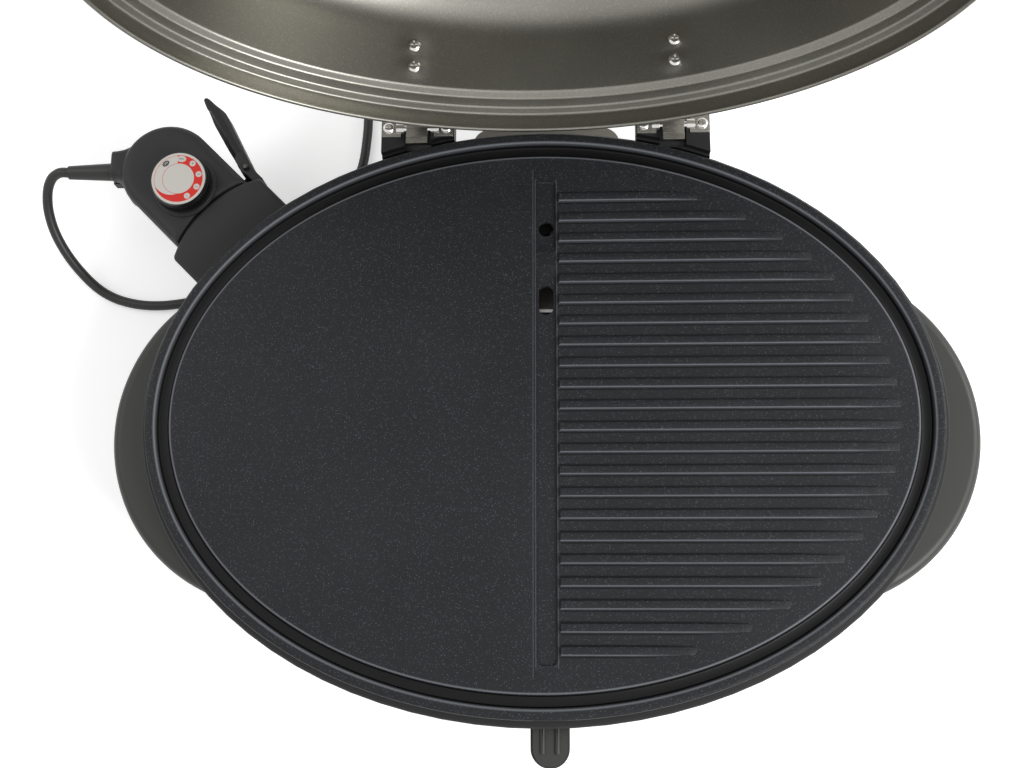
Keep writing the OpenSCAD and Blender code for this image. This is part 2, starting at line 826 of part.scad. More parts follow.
module drain() {
    x = drain_x - drain_w / 2;
    floor = field_z - 2.6;
    slot_w = drain_w - 3.6;
    slot_back = drain_slot_y + drain_slot_len / 2;
    translate([x, 0, 0]) rotate([90, 0, 90]) linear_extrude(drain_w) polygon([
        [-drain_len, floor], [slot_back + 1, floor], [slot_back + 15, field_z],
        [slot_back + 15, rim_z + 5], [-drain_len, rim_z + 5]]);
    translate([x, drain_hole_y - 12, floor]) cube([drain_w, drain_len - drain_hole_y + 12, 10]);
    translate([drain_x, drain_slot_y, 0]) {
        translate([-slot_w / 2, -drain_slot_len / 2, 0]) cube([slot_w, drain_slot_len, rim_z]);
    }
    translate([drain_x, drain_hole_y, 0]) cylinder(d = drain_hole, h = rim_z);
}

module spouts() {
    h = 9;
    translate([drain_x, drain_hole_y, under_z - h]) cylinder(d = drain_hole + 4, h = h + 1);
    translate([drain_x - drain_w / 2, drain_slot_y - drain_slot_len / 2 - 2, under_z - h])
        cube([drain_w, drain_slot_len + 4, h + 1]);
}

// Drip tray
module drip_tray() {
    front = tray_back - tray_len;
    x = drain_x - tray_w / 2;
    color("#b7b6b0") difference() {
        union() {
            tray_block(x, front, tray_w, tray_len - 12, tray_z, tray_d - 2, 9);
            tray_block(x - 1, front - 1, tray_w + 2, tray_len - 10, tray_top - 2.4, 2.4, 10);
            tray_block(x + 1, front + 40, tray_w - 2, tray_len - 40, tray_top - 2.4, 2.4, 12);
            translate([x + 20, tray_back - 3, tray_top - 11]) cube([tray_w - 40, 2, 11]);
        }
        tray_block(x + tray_t, front + tray_t, tray_w - 2 * tray_t, tray_len - 12 - 2 * tray_t,
            tray_z + tray_t, tray_d, 8);
    }
}

module tray_block(x, y, w, len, z, h, r) {
    translate([x, y, z]) linear_extrude(h) union() {
        translate([r, 0]) square([w - 2 * r, len]);
        translate([0, r]) square([w, len - 2 * r]);
        for (px = [r, w - r], py = [r, len - r]) translate([px, py]) circle(r = r);
    }
}

// Lid
function lid_ring(inset, z) = [lid_a - inset, lid_b - inset, z];

// Profile of the outer skin: [inset, height above the rim], from the edge to the crown
function lid_outer() = [
    [1.1, 0], [1.1, 1.5], [2.2, 2.6], [5.2, 3.4], [6.4, 4.8], [6.6, 9.5], [7.6, 11],
    [10, 12.4], [11, 13.8], wall_low, wall_high,
    for (k = [1:5])
        [wall_high[0] + 0.3 + shoulder_r * 1.2 * (1 - cos(18 * k)),
            wall_high[1] + 1 + shoulder_r * sin(18 * k)],
    [118, lid_h - 0.8], [165, lid_h]];

function lid_inner(p, k) = k < 11 ? [p[0] + lid_t, p[1] - 0.3 * lid_t]
    : [p[0] + 0.6 * lid_t, p[1] - lid_t];

module lid_shell() {
    outer = lid_outer();
    last = len(outer) - 1;
    color("#8f897c") lid_swing() difference() {
        oval_loft(concat(
            [for (k = [last:-1:0]) let (p = lid_inner(outer[k], k)) lid_ring(p[0], rim_z + p[1])],
            [for (k = [0:7])
                let (t = 45 - 270 * k / 7)
                    lid_ring(bead_r + bead_r * cos(t), hem_z + bead_r * sin(t))],
            [for (p = outer) lid_ring(p[0], rim_z + p[1])]));
        at_strap_screws() translate([0, 0, -8]) cylinder(d = 4.6, h = 12);
        at_handle_ends() translate([0, 0, -8]) cylinder(d = 4.6, h = 12);
    }
}

// Y of the outside of the back wall at a given X and height above the rim
function lid_wall_y(x, h) =
    let (p = wall_low + (wall_high - wall_low) * (h - wall_low[1]) / (wall_high[1] - wall_low[1]))
        oval_y(lid_a - p[0], lid_b - p[0], x);

// Strap from the pin up the back of the lid, with a stop tail; drawn closed
strap_seat = 0.3;

function strap_y(x, h) = lid_wall_y(abs(x) - strap_w / 2, h) + strap_seat;

module strap_side(x, t) {
    front = hinge_y - knuckle_r;
    low_y = strap_y(x, 15);
    high_y = strap_y(x, 45);
    polygon([
        [front, hinge_z - strap_foot], [front + t, hinge_z - strap_foot],
        [front + t, hinge_z], [front + t, rim_z + 4],
        [low_y + t, rim_z + 15], [high_y + t, rim_z + 45],
        [high_y, rim_z + 45], [low_y, rim_z + 14],
        [front, rim_z + 3.2]]);
}

module lid_strap(x) {
    color("#c4c3bd") lid_swing() difference() {
        union() {
            translate([x - strap_w / 2, 0, 0]) rotate([90, 0, 90])
                linear_extrude(strap_w) strap_side(x, strap_t);
            translate([x - strap_w / 2, hinge_y, hinge_z]) rotate([0, 90, 0])
                cylinder(r = knuckle_r, h = strap_w);
        }
        translate([x - strap_w, hinge_y, hinge_z]) rotate([0, 90, 0])
            cylinder(d = pin_d + 2 * pin_play, h = 2 * strap_w);
        at_strap_screws() translate([0, 0, -8]) cylinder(d = 4.6, h = 20);
    }
}

module lid_strap_left() {
    lid_strap(hinge_x[0]);
}

module lid_strap_right() {
    lid_strap(hinge_x[1]);
}

strap_holes = [25, 39];

function wall_lean() = atan((lid_wall_y(hinge_half, 15) - lid_wall_y(hinge_half, 45)) / 30);

// On the strap's inner face, square to the lid's back wall
module at_strap_screws() {
    for (x = hinge_x, h = strap_holes)
        translate([x, strap_y(x, h), rim_z + h]) rotate([wall_lean() - 90, 0, 0]) children();
}

module strap_screws() {
    color("#d8d5c9") lid_swing() at_strap_screws() {
        translate([0, 0, -4.9]) rotate([180, 0, 0]) screw_head(8, 2.6);
        translate([0, 0, -5]) cylinder(d = 4, h = strap_t + 11);
    }
}

module strap_nuts() {
    color("#d8d5c9") lid_swing() at_strap_screws() translate([0, 0, strap_t + 0.05])
        difference() {
            cylinder(d = 8, h = 3.4, $fn = 6);
            translate([0, 0, -1]) cylinder(d = 4.04, h = 6);
        }
}

// Lid handle on the front wall
handle_h = 30;

function handle_wall_y() = -lid_wall_y(bar_len / 2 - 14, handle_h);

module at_handle_ends() {
    for (x = [-1, 1]) translate([x * (bar_len / 2 - 14), handle_wall_y(), rim_z + handle_h])
        rotate([90, 0, 0]) children();
}

bar_y = bar_rise - bar_d / 2;
bar_seat = bar_y - 6.4;

module lid_handle() {
    color("#1f2022") lid_swing() difference() {
        hull() for (x = [-1, 1]) {
            translate([x * (bar_len - bar_d) / 2, handle_wall_y() - bar_y, rim_z + handle_h])
                sphere(d = bar_d, $fn = 28);
            translate([x * bar_len / 4, handle_wall_y() - bar_y - 4, rim_z + handle_h])
                sphere(d = bar_d + 2, $fn = 28);
        }
        at_handle_ends() {
            cylinder(d = 11.6, h = bar_seat);
            cylinder(d = 4.4, h = bar_y + 4);
        }
    }
}

// Spacers cut to the slope of the front wall
module handle_spacers() {
    color("#c9c9c4") lid_swing() difference() {
        at_handle_ends() translate([0, 0, -3]) difference() {
            cylinder(d = 11, h = bar_seat + 2.95);
            translate([0, 0, -1]) cylinder(d = 4.4, h = bar_rise);
        }
        oval_loft([
            lid_ring(wall_low[0] - 0.15, rim_z + wall_low[1]),
            lid_ring(wall_high[0] - 0.15, rim_z + wall_high[1])]);
    }
}

module handle_screws() {
    color("#d8d5c9") lid_swing() at_handle_ends() {
        translate([0, 0, -lid_t - 2.2]) rotate([180, 0, 0]) screw_head(8, 2.6);
        translate([0, 0, -lid_t - 2.4]) cylinder(d = 4, h = bar_y + 6);
    }
}

// Thermostat housing: two moulded halves with a nose that fills the collar
module box_2d(inset) {
    difference() {
        union() {
            translate([seam_s - 14, -box_r + inset]) square([box_len + 14, box_w - 2 * inset]);
            translate([box_end, 0]) circle(r = box_r - inset, $fn = 96);
        }
        translate([seam_cx, 0]) circle(r = seam_r + play, $fn = 160);
    }
}

module nose_2d(inset) {
    translate([nose_x + inset, -nose_w / 2 + inset])
        square([nose_len + 6 - inset, nose_w - 2 * inset]);
}

// Neck at the round end that the lead's sleeve comes out of, toward the left
module neck_2d(inset) {
    translate([box_end, 0]) rotate(45) polygon([
        [18, -24 + inset], [33, -18 + inset], [neck_reach - inset, -18 + inset],
        [neck_reach - inset, 4 - inset], [33, 4 - inset], [24, 15 - inset]]);
}

module lug_2d() {
    translate([lever_x, lever_y]) circle(r = lever_r + 0.5);
    translate([lever_x - lever_r - 0.5, lever_y]) square([2 * lever_r + 1, box_r / 2]);
}

// One layer of a half: height above the seam between the halves, and its thickness
module layer(sign, z, h) {
    translate([0, 0, axis_z + (sign > 0 ? z : -z - h)]) linear_extrude(h) children();
}

module housing_half(sign) {
    half = box_t / 2;
    rows = [for (k = [0:4]) 5 * sin(22.5 * k)];
    difference() {
        union() {
            layer(sign, 0.05, half - 5.05) box_2d(0);
            for (k = [0:3]) layer(sign, 1, half - 6 + rows[k + 1])
                box_2d(5 * (1 - cos(22.5 * (k + 0.6))));
            layer(sign, 0.05, nose_t / 2 - 0.05) nose_2d(0);
            layer(sign, 0.05, 8) neck_2d(0);
            layer(sign, 1, 10) neck_2d(1.4);
            layer(sign, 1, 11.6) neck_2d(4);
            layer(sign, lever_h / 2 + play, 3) lug_2d();
        }
        difference() {
            translate([0, 0, axis_z - half + box_wall])
                linear_extrude(box_t - 2 * box_wall) room_2d();
            at_housing_screws() translate([0, 0, -1]) cylinder(d = 7, h = 2 * box_t);
        }
        for (y = [-1, 1]) translate([nose_x - 1, y * term_gap / 2, axis_z])
            rotate([0, 90, 0]) cylinder(d = 7.2, h = 18);
        translate([nose_x - 1, 0, axis_z]) rotate([0, 90, 0])
            cylinder(d = probe_d + 0.2, h = 30);
        translate([knob_x, 0, axis_z - 1]) cylinder(d = shaft_d + 0.6, h = box_t);
        translate([lever_x, lever_y, 0]) cylinder(d = 3.04, h = rim_z);
        at_housing_screws() translate([0, 0, 2]) cylinder(d = 3.04, h = box_t - 5);
        at_housing_screws() translate([0, 0, -2]) cylinder(d = 6.4, h = 5);
        translate([box_end, 0, axis_z]) rotate([0, 0, 45]) translate([24, -lead_side, 0])
            rotate([0, 90, 0]) cylinder(d = sleeve_d + 0.4, h = 30);
    }
}

module room_2d() {
    translate([seam_s + 4, -box_r + box_wall]) square([box_len - 4, box_w - 2 * box_wall]);
    translate([box_end, 0]) circle(r = box_r - box_wall, $fn = 96);
}

module at_housing_screws() {
    for (p = [[10, 22], [10, -22], [42, 20], [42, -20]])
        translate([seam_s + p[0], p[1], box_bottom]) children();
}

module housing_top() {
    color("#33373c") plug_frame() housing_half(1);
}

module housing_bottom() {
    color("#2d3034") plug_frame() housing_half(-1);
}

module housing_screws() {
    color("silver") plug_frame() at_housing_screws() {
        translate([0, 0, 3]) rotate([180, 0, 0]) screw_head(5.8, 2.4);
        translate([0, 0, 2.9]) cylinder(d = 3, h = box_t - 8);
    }
}

module thermostat_switch() {
    color("#d9d4c5") plug_frame() {
        translate([knob_x - 13, -13, box_bottom + box_wall + 0.05])
            cube([26, 26, axis_z + 8 - box_bottom - box_wall]);
        translate([knob_x, 0, axis_z + 7.9]) cylinder(d = 10, h = 2);
    }
}

module probe_tube() {
    color("silver") plug_frame() translate([seam_s - probe_len, 0, axis_z]) rotate([0, 90, 0]) {
        translate([0, 0, 2]) cylinder(d = probe_d, h = probe_len + knob_s - 15.2);
        cylinder(d1 = probe_d - 2.4, d2 = probe_d, h = 2);
    }
}

module contact_sleeves() {
    color("#c8a24a") plug_frame() for (y = [-1, 1])
        translate([nose_x + 0.4, y * term_gap / 2, axis_z]) rotate([0, 90, 0]) difference() {
            cylinder(d = 7, h = 16);
            translate([0, 0, -1]) cylinder(d = term_d + 0.2, h = 18);
        }
}

module seat_ring() {
    color("#3c4046") plug_frame() translate([knob_x, 0, box_top + 0.05]) difference() {
        union() {
            cylinder(d = knob_d + 4, h = 1.6);
            cylinder(d = knob_d + 1.6, h = 2.8);
        }
        translate([0, 0, -1]) cylinder(d = shaft_d + 0.6, h = 6);
    }
}

module knob() {
    color("#2a2b2e") plug_frame() translate([knob_x, 0, knob_z]) difference() {
        union() {
            difference() {
                cylinder(d = knob_d, h = knob_h - 3, $fn = 96);
                for (k = [0:knob_grooves - 1]) rotate([0, 0, 360 * k / knob_grooves])
                    translate([knob_d / 2, 0, 1.5]) cylinder(d = 1.8, h = knob_h, $fn = 14);
            }
            translate([0, 0, knob_h - 3]) cylinder(d1 = knob_d - 1, d2 = dial_d + 2, h = 3, $fn = 96);
        }
        translate([0, 0, knob_h - 1.4]) cylinder(d = dial_d + 0.2, h = 3, $fn = 96);
        translate([0, 0, -1]) cylinder(d = shaft_d, h = knob_h - 4);
    }
}

module dial_disc() {
    color("#e3dfda") plug_frame() translate([knob_x, 0, knob_z + knob_h - 1.38])
        cylinder(d = dial_d, h = 1.2, $fn = 96);
}

module knob_shaft() {
    color("silver") plug_frame() translate([knob_x, 0, axis_z + 10]) difference() {
        cylinder(d = shaft_d - 0.04, h = knob_z + knob_h - 6 - axis_z - 10);
        translate([shaft_d / 2 - 1.2, -5, knob_z - axis_z - 10 + 1]) cube([4, 10, 20]);
    }
}

// Curved lever beside the housing that pushes the thermostat out of its collar
foot_reach = lever_x - seam_cx - sqrt(pow(seam_r, 2) - pow(-lever_y - 3.6, 2)) - 0.6;

module lever_2d(t) {
    difference() {
        union() {
            circle(r = lever_r);
            translate([-foot_reach, -3]) square([foot_reach + 6, 6.4]);
            hull() {
                circle(r = lever_r - 0.5);
                translate([22, -6]) circle(r = 5, $fn = 32);
            }
            hull() {
                translate([22, -6]) circle(r = 5, $fn = 32);
                translate([42, -12]) circle(r = 5.6, $fn = 32);
            }
            hull() {
                translate([42, -12]) circle(r = 5.6, $fn = 32);
                translate([57.5, -14.5]) circle(r = 2, $fn = 32);
            }
        }
        if (t > 0) hull() {
            translate([14, 0.4 + t]) circle(r = 3, $fn = 32);
            translate([50, -9 + t]) circle(r = 3, $fn = 32);
            translate([40, 12]) circle(r = 3, $fn = 32);
        }
    }
}

module eject_lever() {
    color("#2b2f33") plug_frame() translate([lever_x, lever_y, lever_z]) difference() {
        union() {
            linear_extrude(lever_h - 7) lever_2d(0);
            linear_extrude(lever_h) lever_2d(1);
        }
        translate([0, 0, -1]) cylinder(d = 3 + 2 * pin_play, h = lever_h + 2);
    }
}

module lever_pin() {
    color("silver") plug_frame() translate([lever_x, lever_y, lever_z - play - 3])
        cylinder(d = 3, h = lever_h + 2 * play + 6);
}

// Mains lead: a sleeve at the housing, the free lead, its coil on the table, and the plug
module strain_relief() {
    color("#24262a") translate([relief_x, lead_y, axis_z]) rotate([0, 90, 0]) {
        cylinder(d1 = 9.4, d2 = sleeve_d - 0.6, h = relief_len);
        translate([0, 0, relief_len]) cylinder(d = sleeve_d, h = 18);
        translate([0, 0, relief_len + 18]) cylinder(d = sleeve_d + 3, h = 3);
    }
}

module power_cord() {
    color("#1b1c1e") tube(concat(lead_route, [coil_start]), lead_d / 2, 8);
}

// Loops spiral in on the table, climb in the half turn at the middle and spiral out on top
coil_half = coil_turns / 2;
// How far the climb dips inwards, clear of the loops beside it
coil_dip = 1.3;
coil_rise = lead_d + 0.45;

function coil_radius(n) = n < coil_half ? coil_out - coil_step * n
    : n < coil_half + 0.5 ? coil_out - coil_step * coil_half
        - coil_dip * sin(360 * (n - coil_half))
    : coil_out - coil_step * (2 * coil_half + 0.5 - n);
function coil_z(n) = lead_d / 2
    + coil_rise * (1 - cos(180 * min(1, max(0, 2 * (n - coil_half))))) / 2;
function coil_point(n) = [
    coil_at[0] + coil_radius(n) * sin(360 * n),
    coil_at[1] - coil_radius(n) * cos(360 * n), coil_z(n)];

coil_end_n = 2 * coil_half;
coil_exit = coil_point(coil_end_n);

function coil_path() = concat(
    [coil_start],
    [for (k = [0:22 * coil_end_n]) coil_point(k / 22)],
    [for (k = [1:5])
        [coil_exit[0] + 13 * k, coil_exit[1],
            coil_exit[2] + (plug_r - coil_exit[2]) * (1 - cos(36 * k)) / 2]],
    [[coil_exit[0] + 65 + lead_d, coil_exit[1], plug_r]]);

// Least gap between the coil's loops, between points at least half a turn apart
function coil_gap(p) = min([for (i = [0:len(p) - 12], j = [i + 11:len(p) - 1])
    norm(p[i] - p[j])]) - lead_d;
echo(coil_gap = coil_gap(coil_path()));

module cord_coil() {
    color("#1b1c1e") tube(coil_path(), lead_d / 2, 6);
}

module mains_plug() {
    color("#1b1c1e") translate([coil_exit[0] + 65 + lead_d + 0.05, coil_exit[1], plug_r])
        rotate([0, 90, 0]) difference() {
            union() {
                cylinder(d1 = 10, d2 = 14, h = 16);
                translate([0, 0, 16]) cylinder(d1 = 18, d2 = 30, h = 9);
                translate([0, 0, 25]) cylinder(d1 = 30, d2 = 2 * plug_r - 0.6, h = 6);
                translate([0, 0, 31]) cylinder(d = 2 * plug_r - 0.6, h = 20);
            }
            for (s = [-1, 1]) translate([-3, s * (plug_r + 2) - 4.5, 36]) cube([6, 9, 20]);
        }
}

module plug_pins() {
    color("silver") translate([coil_exit[0] + 65 + lead_d + 51.05, coil_exit[1], plug_r])
        rotate([0, 90, 0]) for (x = [-9.5, 9.5]) translate([x, 0, 0]) {
            translate([0, 0, 0.02]) cylinder(d = 4.8, h = 17);
            translate([0, 0, 17.02]) cylinder(d1 = 4.8, d2 = 3, h = 2);
        }
}

placed() base_shell();
placed() left_handle();
placed() right_handle();
placed() front_tab();
placed() rubber_feet();
placed() foot_screws();
placed() heat_reflector();
placed() reflector_screws();
placed() heating_element();
placed() element_supports();
placed() terminal_block();
placed() terminal_pins();
placed() plug_collar();
placed() hinge_post_left();
placed() hinge_post_right();
placed() hinge_plate_left();
placed() hinge_plate_right();
placed() hinge_pins();
placed() hinge_screws();
placed() tray_rails();
placed() grill_plate();
placed() drip_tray();
placed() lid_shell();
placed() lid_strap_left();
placed() lid_strap_right();
placed() strap_screws();
placed() strap_nuts();
placed() lid_handle();
placed() handle_spacers();
placed() handle_screws();
placed() housing_top();
placed() housing_bottom();
placed() housing_screws();
placed() thermostat_switch();
placed() probe_tube();
placed() contact_sleeves();
placed() seat_ring();
placed() lever_pin();
placed() strain_relief();
placed() knob();
placed() dial_disc();
placed() knob_shaft();
placed() eject_lever();
placed() power_cord();
placed() cord_coil();
placed() mains_plug();
placed() plug_pins();
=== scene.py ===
# Oval table grill: cast hot plate, moulded base, hinged lid, drip tray and plug-in thermostat
import json
import math

import bmesh
import bpy
from mathutils import Matrix, Vector

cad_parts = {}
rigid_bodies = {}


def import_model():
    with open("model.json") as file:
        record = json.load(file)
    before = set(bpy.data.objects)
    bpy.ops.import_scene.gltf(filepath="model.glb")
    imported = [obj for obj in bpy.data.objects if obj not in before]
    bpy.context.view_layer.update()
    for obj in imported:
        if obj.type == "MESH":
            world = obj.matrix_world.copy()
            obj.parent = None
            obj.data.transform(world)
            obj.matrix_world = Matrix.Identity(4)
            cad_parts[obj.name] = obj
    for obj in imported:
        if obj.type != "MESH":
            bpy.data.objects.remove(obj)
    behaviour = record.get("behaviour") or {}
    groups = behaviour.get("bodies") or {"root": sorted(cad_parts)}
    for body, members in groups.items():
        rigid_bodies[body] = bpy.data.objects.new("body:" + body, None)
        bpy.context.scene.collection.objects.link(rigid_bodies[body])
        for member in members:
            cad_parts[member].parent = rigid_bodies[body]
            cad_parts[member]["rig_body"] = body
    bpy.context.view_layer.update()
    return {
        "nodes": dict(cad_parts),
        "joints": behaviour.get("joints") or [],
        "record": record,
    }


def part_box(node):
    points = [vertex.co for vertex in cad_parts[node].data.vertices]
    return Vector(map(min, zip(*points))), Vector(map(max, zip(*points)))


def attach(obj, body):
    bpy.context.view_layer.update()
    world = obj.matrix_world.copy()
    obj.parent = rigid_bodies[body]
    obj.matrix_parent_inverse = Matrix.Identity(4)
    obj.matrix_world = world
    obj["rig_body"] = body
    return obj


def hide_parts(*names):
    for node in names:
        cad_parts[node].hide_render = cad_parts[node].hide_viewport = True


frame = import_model()

# Sizes are in millimetres from the middle of the hot plate, with Z up from the table
mm = 0.001
plateLow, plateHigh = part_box("grill_plate")
middle = Vector(((plateLow.x + plateHigh.x) / 2, (plateLow.y + plateHigh.y) / 2, 0))
toRow = Matrix.Translation(middle) @ Matrix.Scale(mm, 4)
hingePin = Vector(next(j["pos_m"] for j in frame["joints"] if j["name"] == "lid_hinge"))
hinge = {"x": [-80.5, 87.5], "y": (hingePin.y - middle.y) / mm, "z": hingePin.z / mm}
oval = {"a": 250.0, "b": 186.0, "rim": 105.0, "points": 240}


def makeCamera():
    look = {
        "place": (0.02841, -0.205478, 0.888331),
        "tilt": 12.5,
        "swing": 11.948,
        "roll": -12.0762,
        "lens": 45.03,
        "sensor": 36,
    }
    data = bpy.data.cameras.new("photoCamera")
    data.lens = look["lens"]
    data.sensor_width = look["sensor"]
    data.sensor_fit = "HORIZONTAL"
    camera = bpy.data.objects.new("photoCamera", data)
    bpy.context.scene.collection.objects.link(camera)
    turn = Matrix.Rotation(math.radians(look["swing"]), 4, "Z")
    turn @= Matrix.Rotation(math.radians(look["tilt"]), 4, "X")
    turn @= Matrix.Rotation(math.radians(look["roll"]), 4, "Z")
    camera.matrix_world = Matrix.Translation(look["place"]) @ turn
    bpy.context.scene.camera = camera


# Meshes
def addObject(name, data):
    piece = bpy.data.objects.new(name, data)
    bpy.context.scene.collection.objects.link(piece)
    return piece


def meshPiece(name, points, faces, place=None):
    data = bpy.data.meshes.new(name)
    data.from_pydata([tuple(p) for p in points], [], faces)
    data.transform(toRow @ place if place else toRow)
    data.validate()
    return addObject(name, data)


def evaluated(piece):
    graph = bpy.context.evaluated_depsgraph_get()
    return bpy.data.meshes.new_from_object(piece.evaluated_get(graph), depsgraph=graph)


def bake(piece):
    data = evaluated(piece)
    data.name = piece.name
    piece.modifiers.clear()
    piece.data = data
    return piece


def shadeByAngle(piece, degrees):
    shape = bmesh.new()
    shape.from_mesh(piece.data)
    limit = math.radians(degrees)
    for face in shape.faces:
        face.smooth = True
    for edge in shape.edges:
        edge.smooth = edge.is_manifold and edge.calc_face_angle(0) < limit
    shape.to_mesh(piece.data)
    shape.free()


def roundEdges(piece, width, degrees=30):
    bevel = piece.modifiers.new("edges", "BEVEL")
    bevel.width = width * mm
    bevel.segments = 2
    bevel.limit_method = "ANGLE"
    bevel.angle_limit = math.radians(degrees)
    bake(piece)


def weighNormals(piece):
    weigh = piece.modifiers.new("normals", "WEIGHTED_NORMAL")
    weigh.keep_sharp = True
    weigh.weight = 80
    bake(piece)


# Rounds only the edges that the given test picks
def roundSome(piece, radius, segments, picked, clamp=False):
    shape = bmesh.new()
    shape.from_mesh(piece.data)
    bmesh.ops.bevel(
        shape,
        geom=[edge for edge in shape.edges if picked(edge)],
        offset=radius * mm,
        segments=segments,
        profile=0.5,
        affect="EDGES",
        clamp_overlap=clamp,
    )
    shape.to_mesh(piece.data)
    shape.free()
    return piece


def roundCorners(piece, radius):
    return roundSome(piece, radius, 5, lambda e: (e.verts[0].co - e.verts[1].co).xy.length < 0.01 * mm)


def cut(piece, *cutters, solver="EXACT"):
    for cutter in cutters:
        tool = piece.modifiers.new("cut", "BOOLEAN")
        tool.operation = "DIFFERENCE"
        tool.solver = solver
        tool.object = cutter
        bake(piece)
        bpy.data.objects.remove(cutter)
    return piece


def ovalRing(a, b, z, count=None):
    count = count or oval["points"]
    turns = [2 * math.pi * i / count for i in range(count)]
    return [(a * math.cos(t), b * math.sin(t), z) for t in turns]


def loft(name, rings, place=None):
    count = len(rings[0])
    points = [p for ring in rings for p in ring]
    faces = [tuple(range(count - 1, -1, -1))]
    for k in range(len(rings) - 1):
        low, high = k * count, (k + 1) * count
        for i in range(count):
            j = (i + 1) % count
            faces.append((low + i, low + j, high + j, high + i))
    last = (len(rings) - 1) * count
    faces.append(tuple(range(last, last + count)))
    return meshPiece(name, points, faces, place)


def slab(name, outline, low, high, place=None):
    return loft(name, [[(x, y, low) for x, y in outline], [(x, y, high) for x, y in outline]], place)


def block(name, low, high, place=None):
    (x0, y0, z0), (x1, y1, z1) = low, high
    return slab(name, [(x0, y0), (x1, y0), (x1, y1), (x0, y1)], z0, z1, place)


def lathe(name, profile, place=None, count=96):
    rings = [ovalRing(r, r, z, count) for r, z in profile]
    return loft(name, rings, place)


# A bar with its long edges along rings of points, closed on itself or with two ends
def sweep(name, rings, place, closed=True):
    count, total = len(rings[0]), len(rings) * len(rings[0])
    faces = []
    for start in range(0, total, count):
        after = (start + count) % total
        for i in range(count if closed else count - 1):
            j = (i + 1) % count
            faces.append((start + i, start + j, after + j, after + i))
    if not closed:
        faces += [tuple(range(0, total, count)), tuple(range(total - 1, 0, -count))]
    return meshPiece(name, [p for ring in rings for p in ring], faces, place)


def blend(piece, size, rounds):
    piece.data.materials.clear()
    remesh = piece.modifiers.new("blend", "REMESH")
    remesh.mode = "VOXEL"
    remesh.voxel_size = size * mm
    soften = piece.modifiers.new("soften", "SMOOTH")
    soften.factor = 0.5
    soften.iterations = rounds
    bake(piece)
    for face in piece.data.polygons:
        face.use_smooth = True


def join(name, *parts):
    joined = bmesh.new()
    for part in parts:
        joined.from_mesh(part.data)
    data = bpy.data.meshes.new(name)
    joined.to_mesh(data)
    joined.free()
    for part in parts:
        bpy.data.objects.remove(part)
    return addObject(name, data)


# Node trees
floatSocket, vectorSocket, colourSocket = "NodeSocketFloat", "NodeSocketVector", "NodeSocketColor"
shapeSocket, finishSocket = "NodeSocketGeometry", "NodeSocketMaterial"


def makeGroup(name, kind, inputs, outputs):
    tree = bpy.data.node_groups.new(name, kind)
    for label, socket, value in inputs:
        made = tree.interface.new_socket(label, in_out="INPUT", socket_type=socket)
        if value is not None:
            made.default_value = value
    for label, socket in outputs:
        tree.interface.new_socket(label, in_out="OUTPUT", socket_type=socket)
    return tree, tree.nodes.new("NodeGroupInput").outputs, tree.nodes.new("NodeGroupOutput")


def feed(tree, node, values):
    for label, value in values.items():
        socket = node.inputs[label]
        if isinstance(value, bpy.types.NodeSocket):
            tree.links.new(value, socket)
        else:
            socket.default_value = value
    return node


def addNode(tree, kind, values=None, **settings):
    node = tree.nodes.new(kind)
    for label, value in settings.items():
        setattr(node, label, value)
    return feed(tree, node, values or {})


def calc(tree, operation, a, b=0.0, clamp=False):
    values = {0: a} if operation in ("SQRT", "ABSOLUTE") else {0: a, 1: b}
    if operation == "WRAP":
        values[2] = 0.0
    return addNode(tree, "ShaderNodeMath", values, operation=operation, use_clamp=clamp).outputs[0]


# One function for each kind of sum, all in the same tree
def sums(tree, *kinds):
    def makeSum(kind):
        return lambda a, b=0.0, clamp=False: calc(tree, kind, a, b, clamp)

    return [makeSum(kind) for kind in kinds]


# Colour and roughness that follow a noise around zero, and a height for the bump
def vary(tree, given, out, around, spread, height):
    plus, times = sums(tree, "ADD", "MULTIPLY")
    gain = plus(times(around, times(given["Shade"], 4.0)), 1.0)
    tint = addNode(tree, "ShaderNodeVectorMath", {0: given["Colour"], "Scale": gain}, operation="SCALE")
    rough = plus(times(around, spread), given["Rough"], clamp=True)
    feed(tree, out, {"Colour": tint.outputs[0], "Roughness": rough, "Height": height})


variedOutputs = [("Colour", colourSocket), ("Roughness", floatSocket), ("Height", floatSocket)]


# Fine grain of a moulding or casting, with a slow change of tone over the piece
def grainGroup():
    tree, given, out = makeGroup(
        "surfaceGrain",
        "ShaderNodeTree",
        [
            ("Vector", vectorSocket, None),
            ("Colour", colourSocket, None),
            ("Size", floatSocket, 1500.0),
            ("Shade", floatSocket, 0.1),
            ("Rough", floatSocket, 0.5),
            ("Spread", floatSocket, 0.12),
        ],
        variedOutputs,
    )
    spot = given["Vector"]
    fine = addNode(tree, "ShaderNodeTexNoise", {"Vector": spot, "Scale": given["Size"], "Detail": 3.0})
    slow = addNode(tree, "ShaderNodeTexNoise", {"Vector": spot, "Scale": 14.0, "Detail": 2.0})
    slowShare = 0.6
    both = calc(tree, "ADD", fine.outputs["Fac"], calc(tree, "MULTIPLY", slow.outputs["Fac"], slowShare))
    around = calc(tree, "SUBTRACT", both, (1 + slowShare) / 2)
    vary(tree, given, out, around, given["Spread"], fine.outputs["Fac"])
    return tree


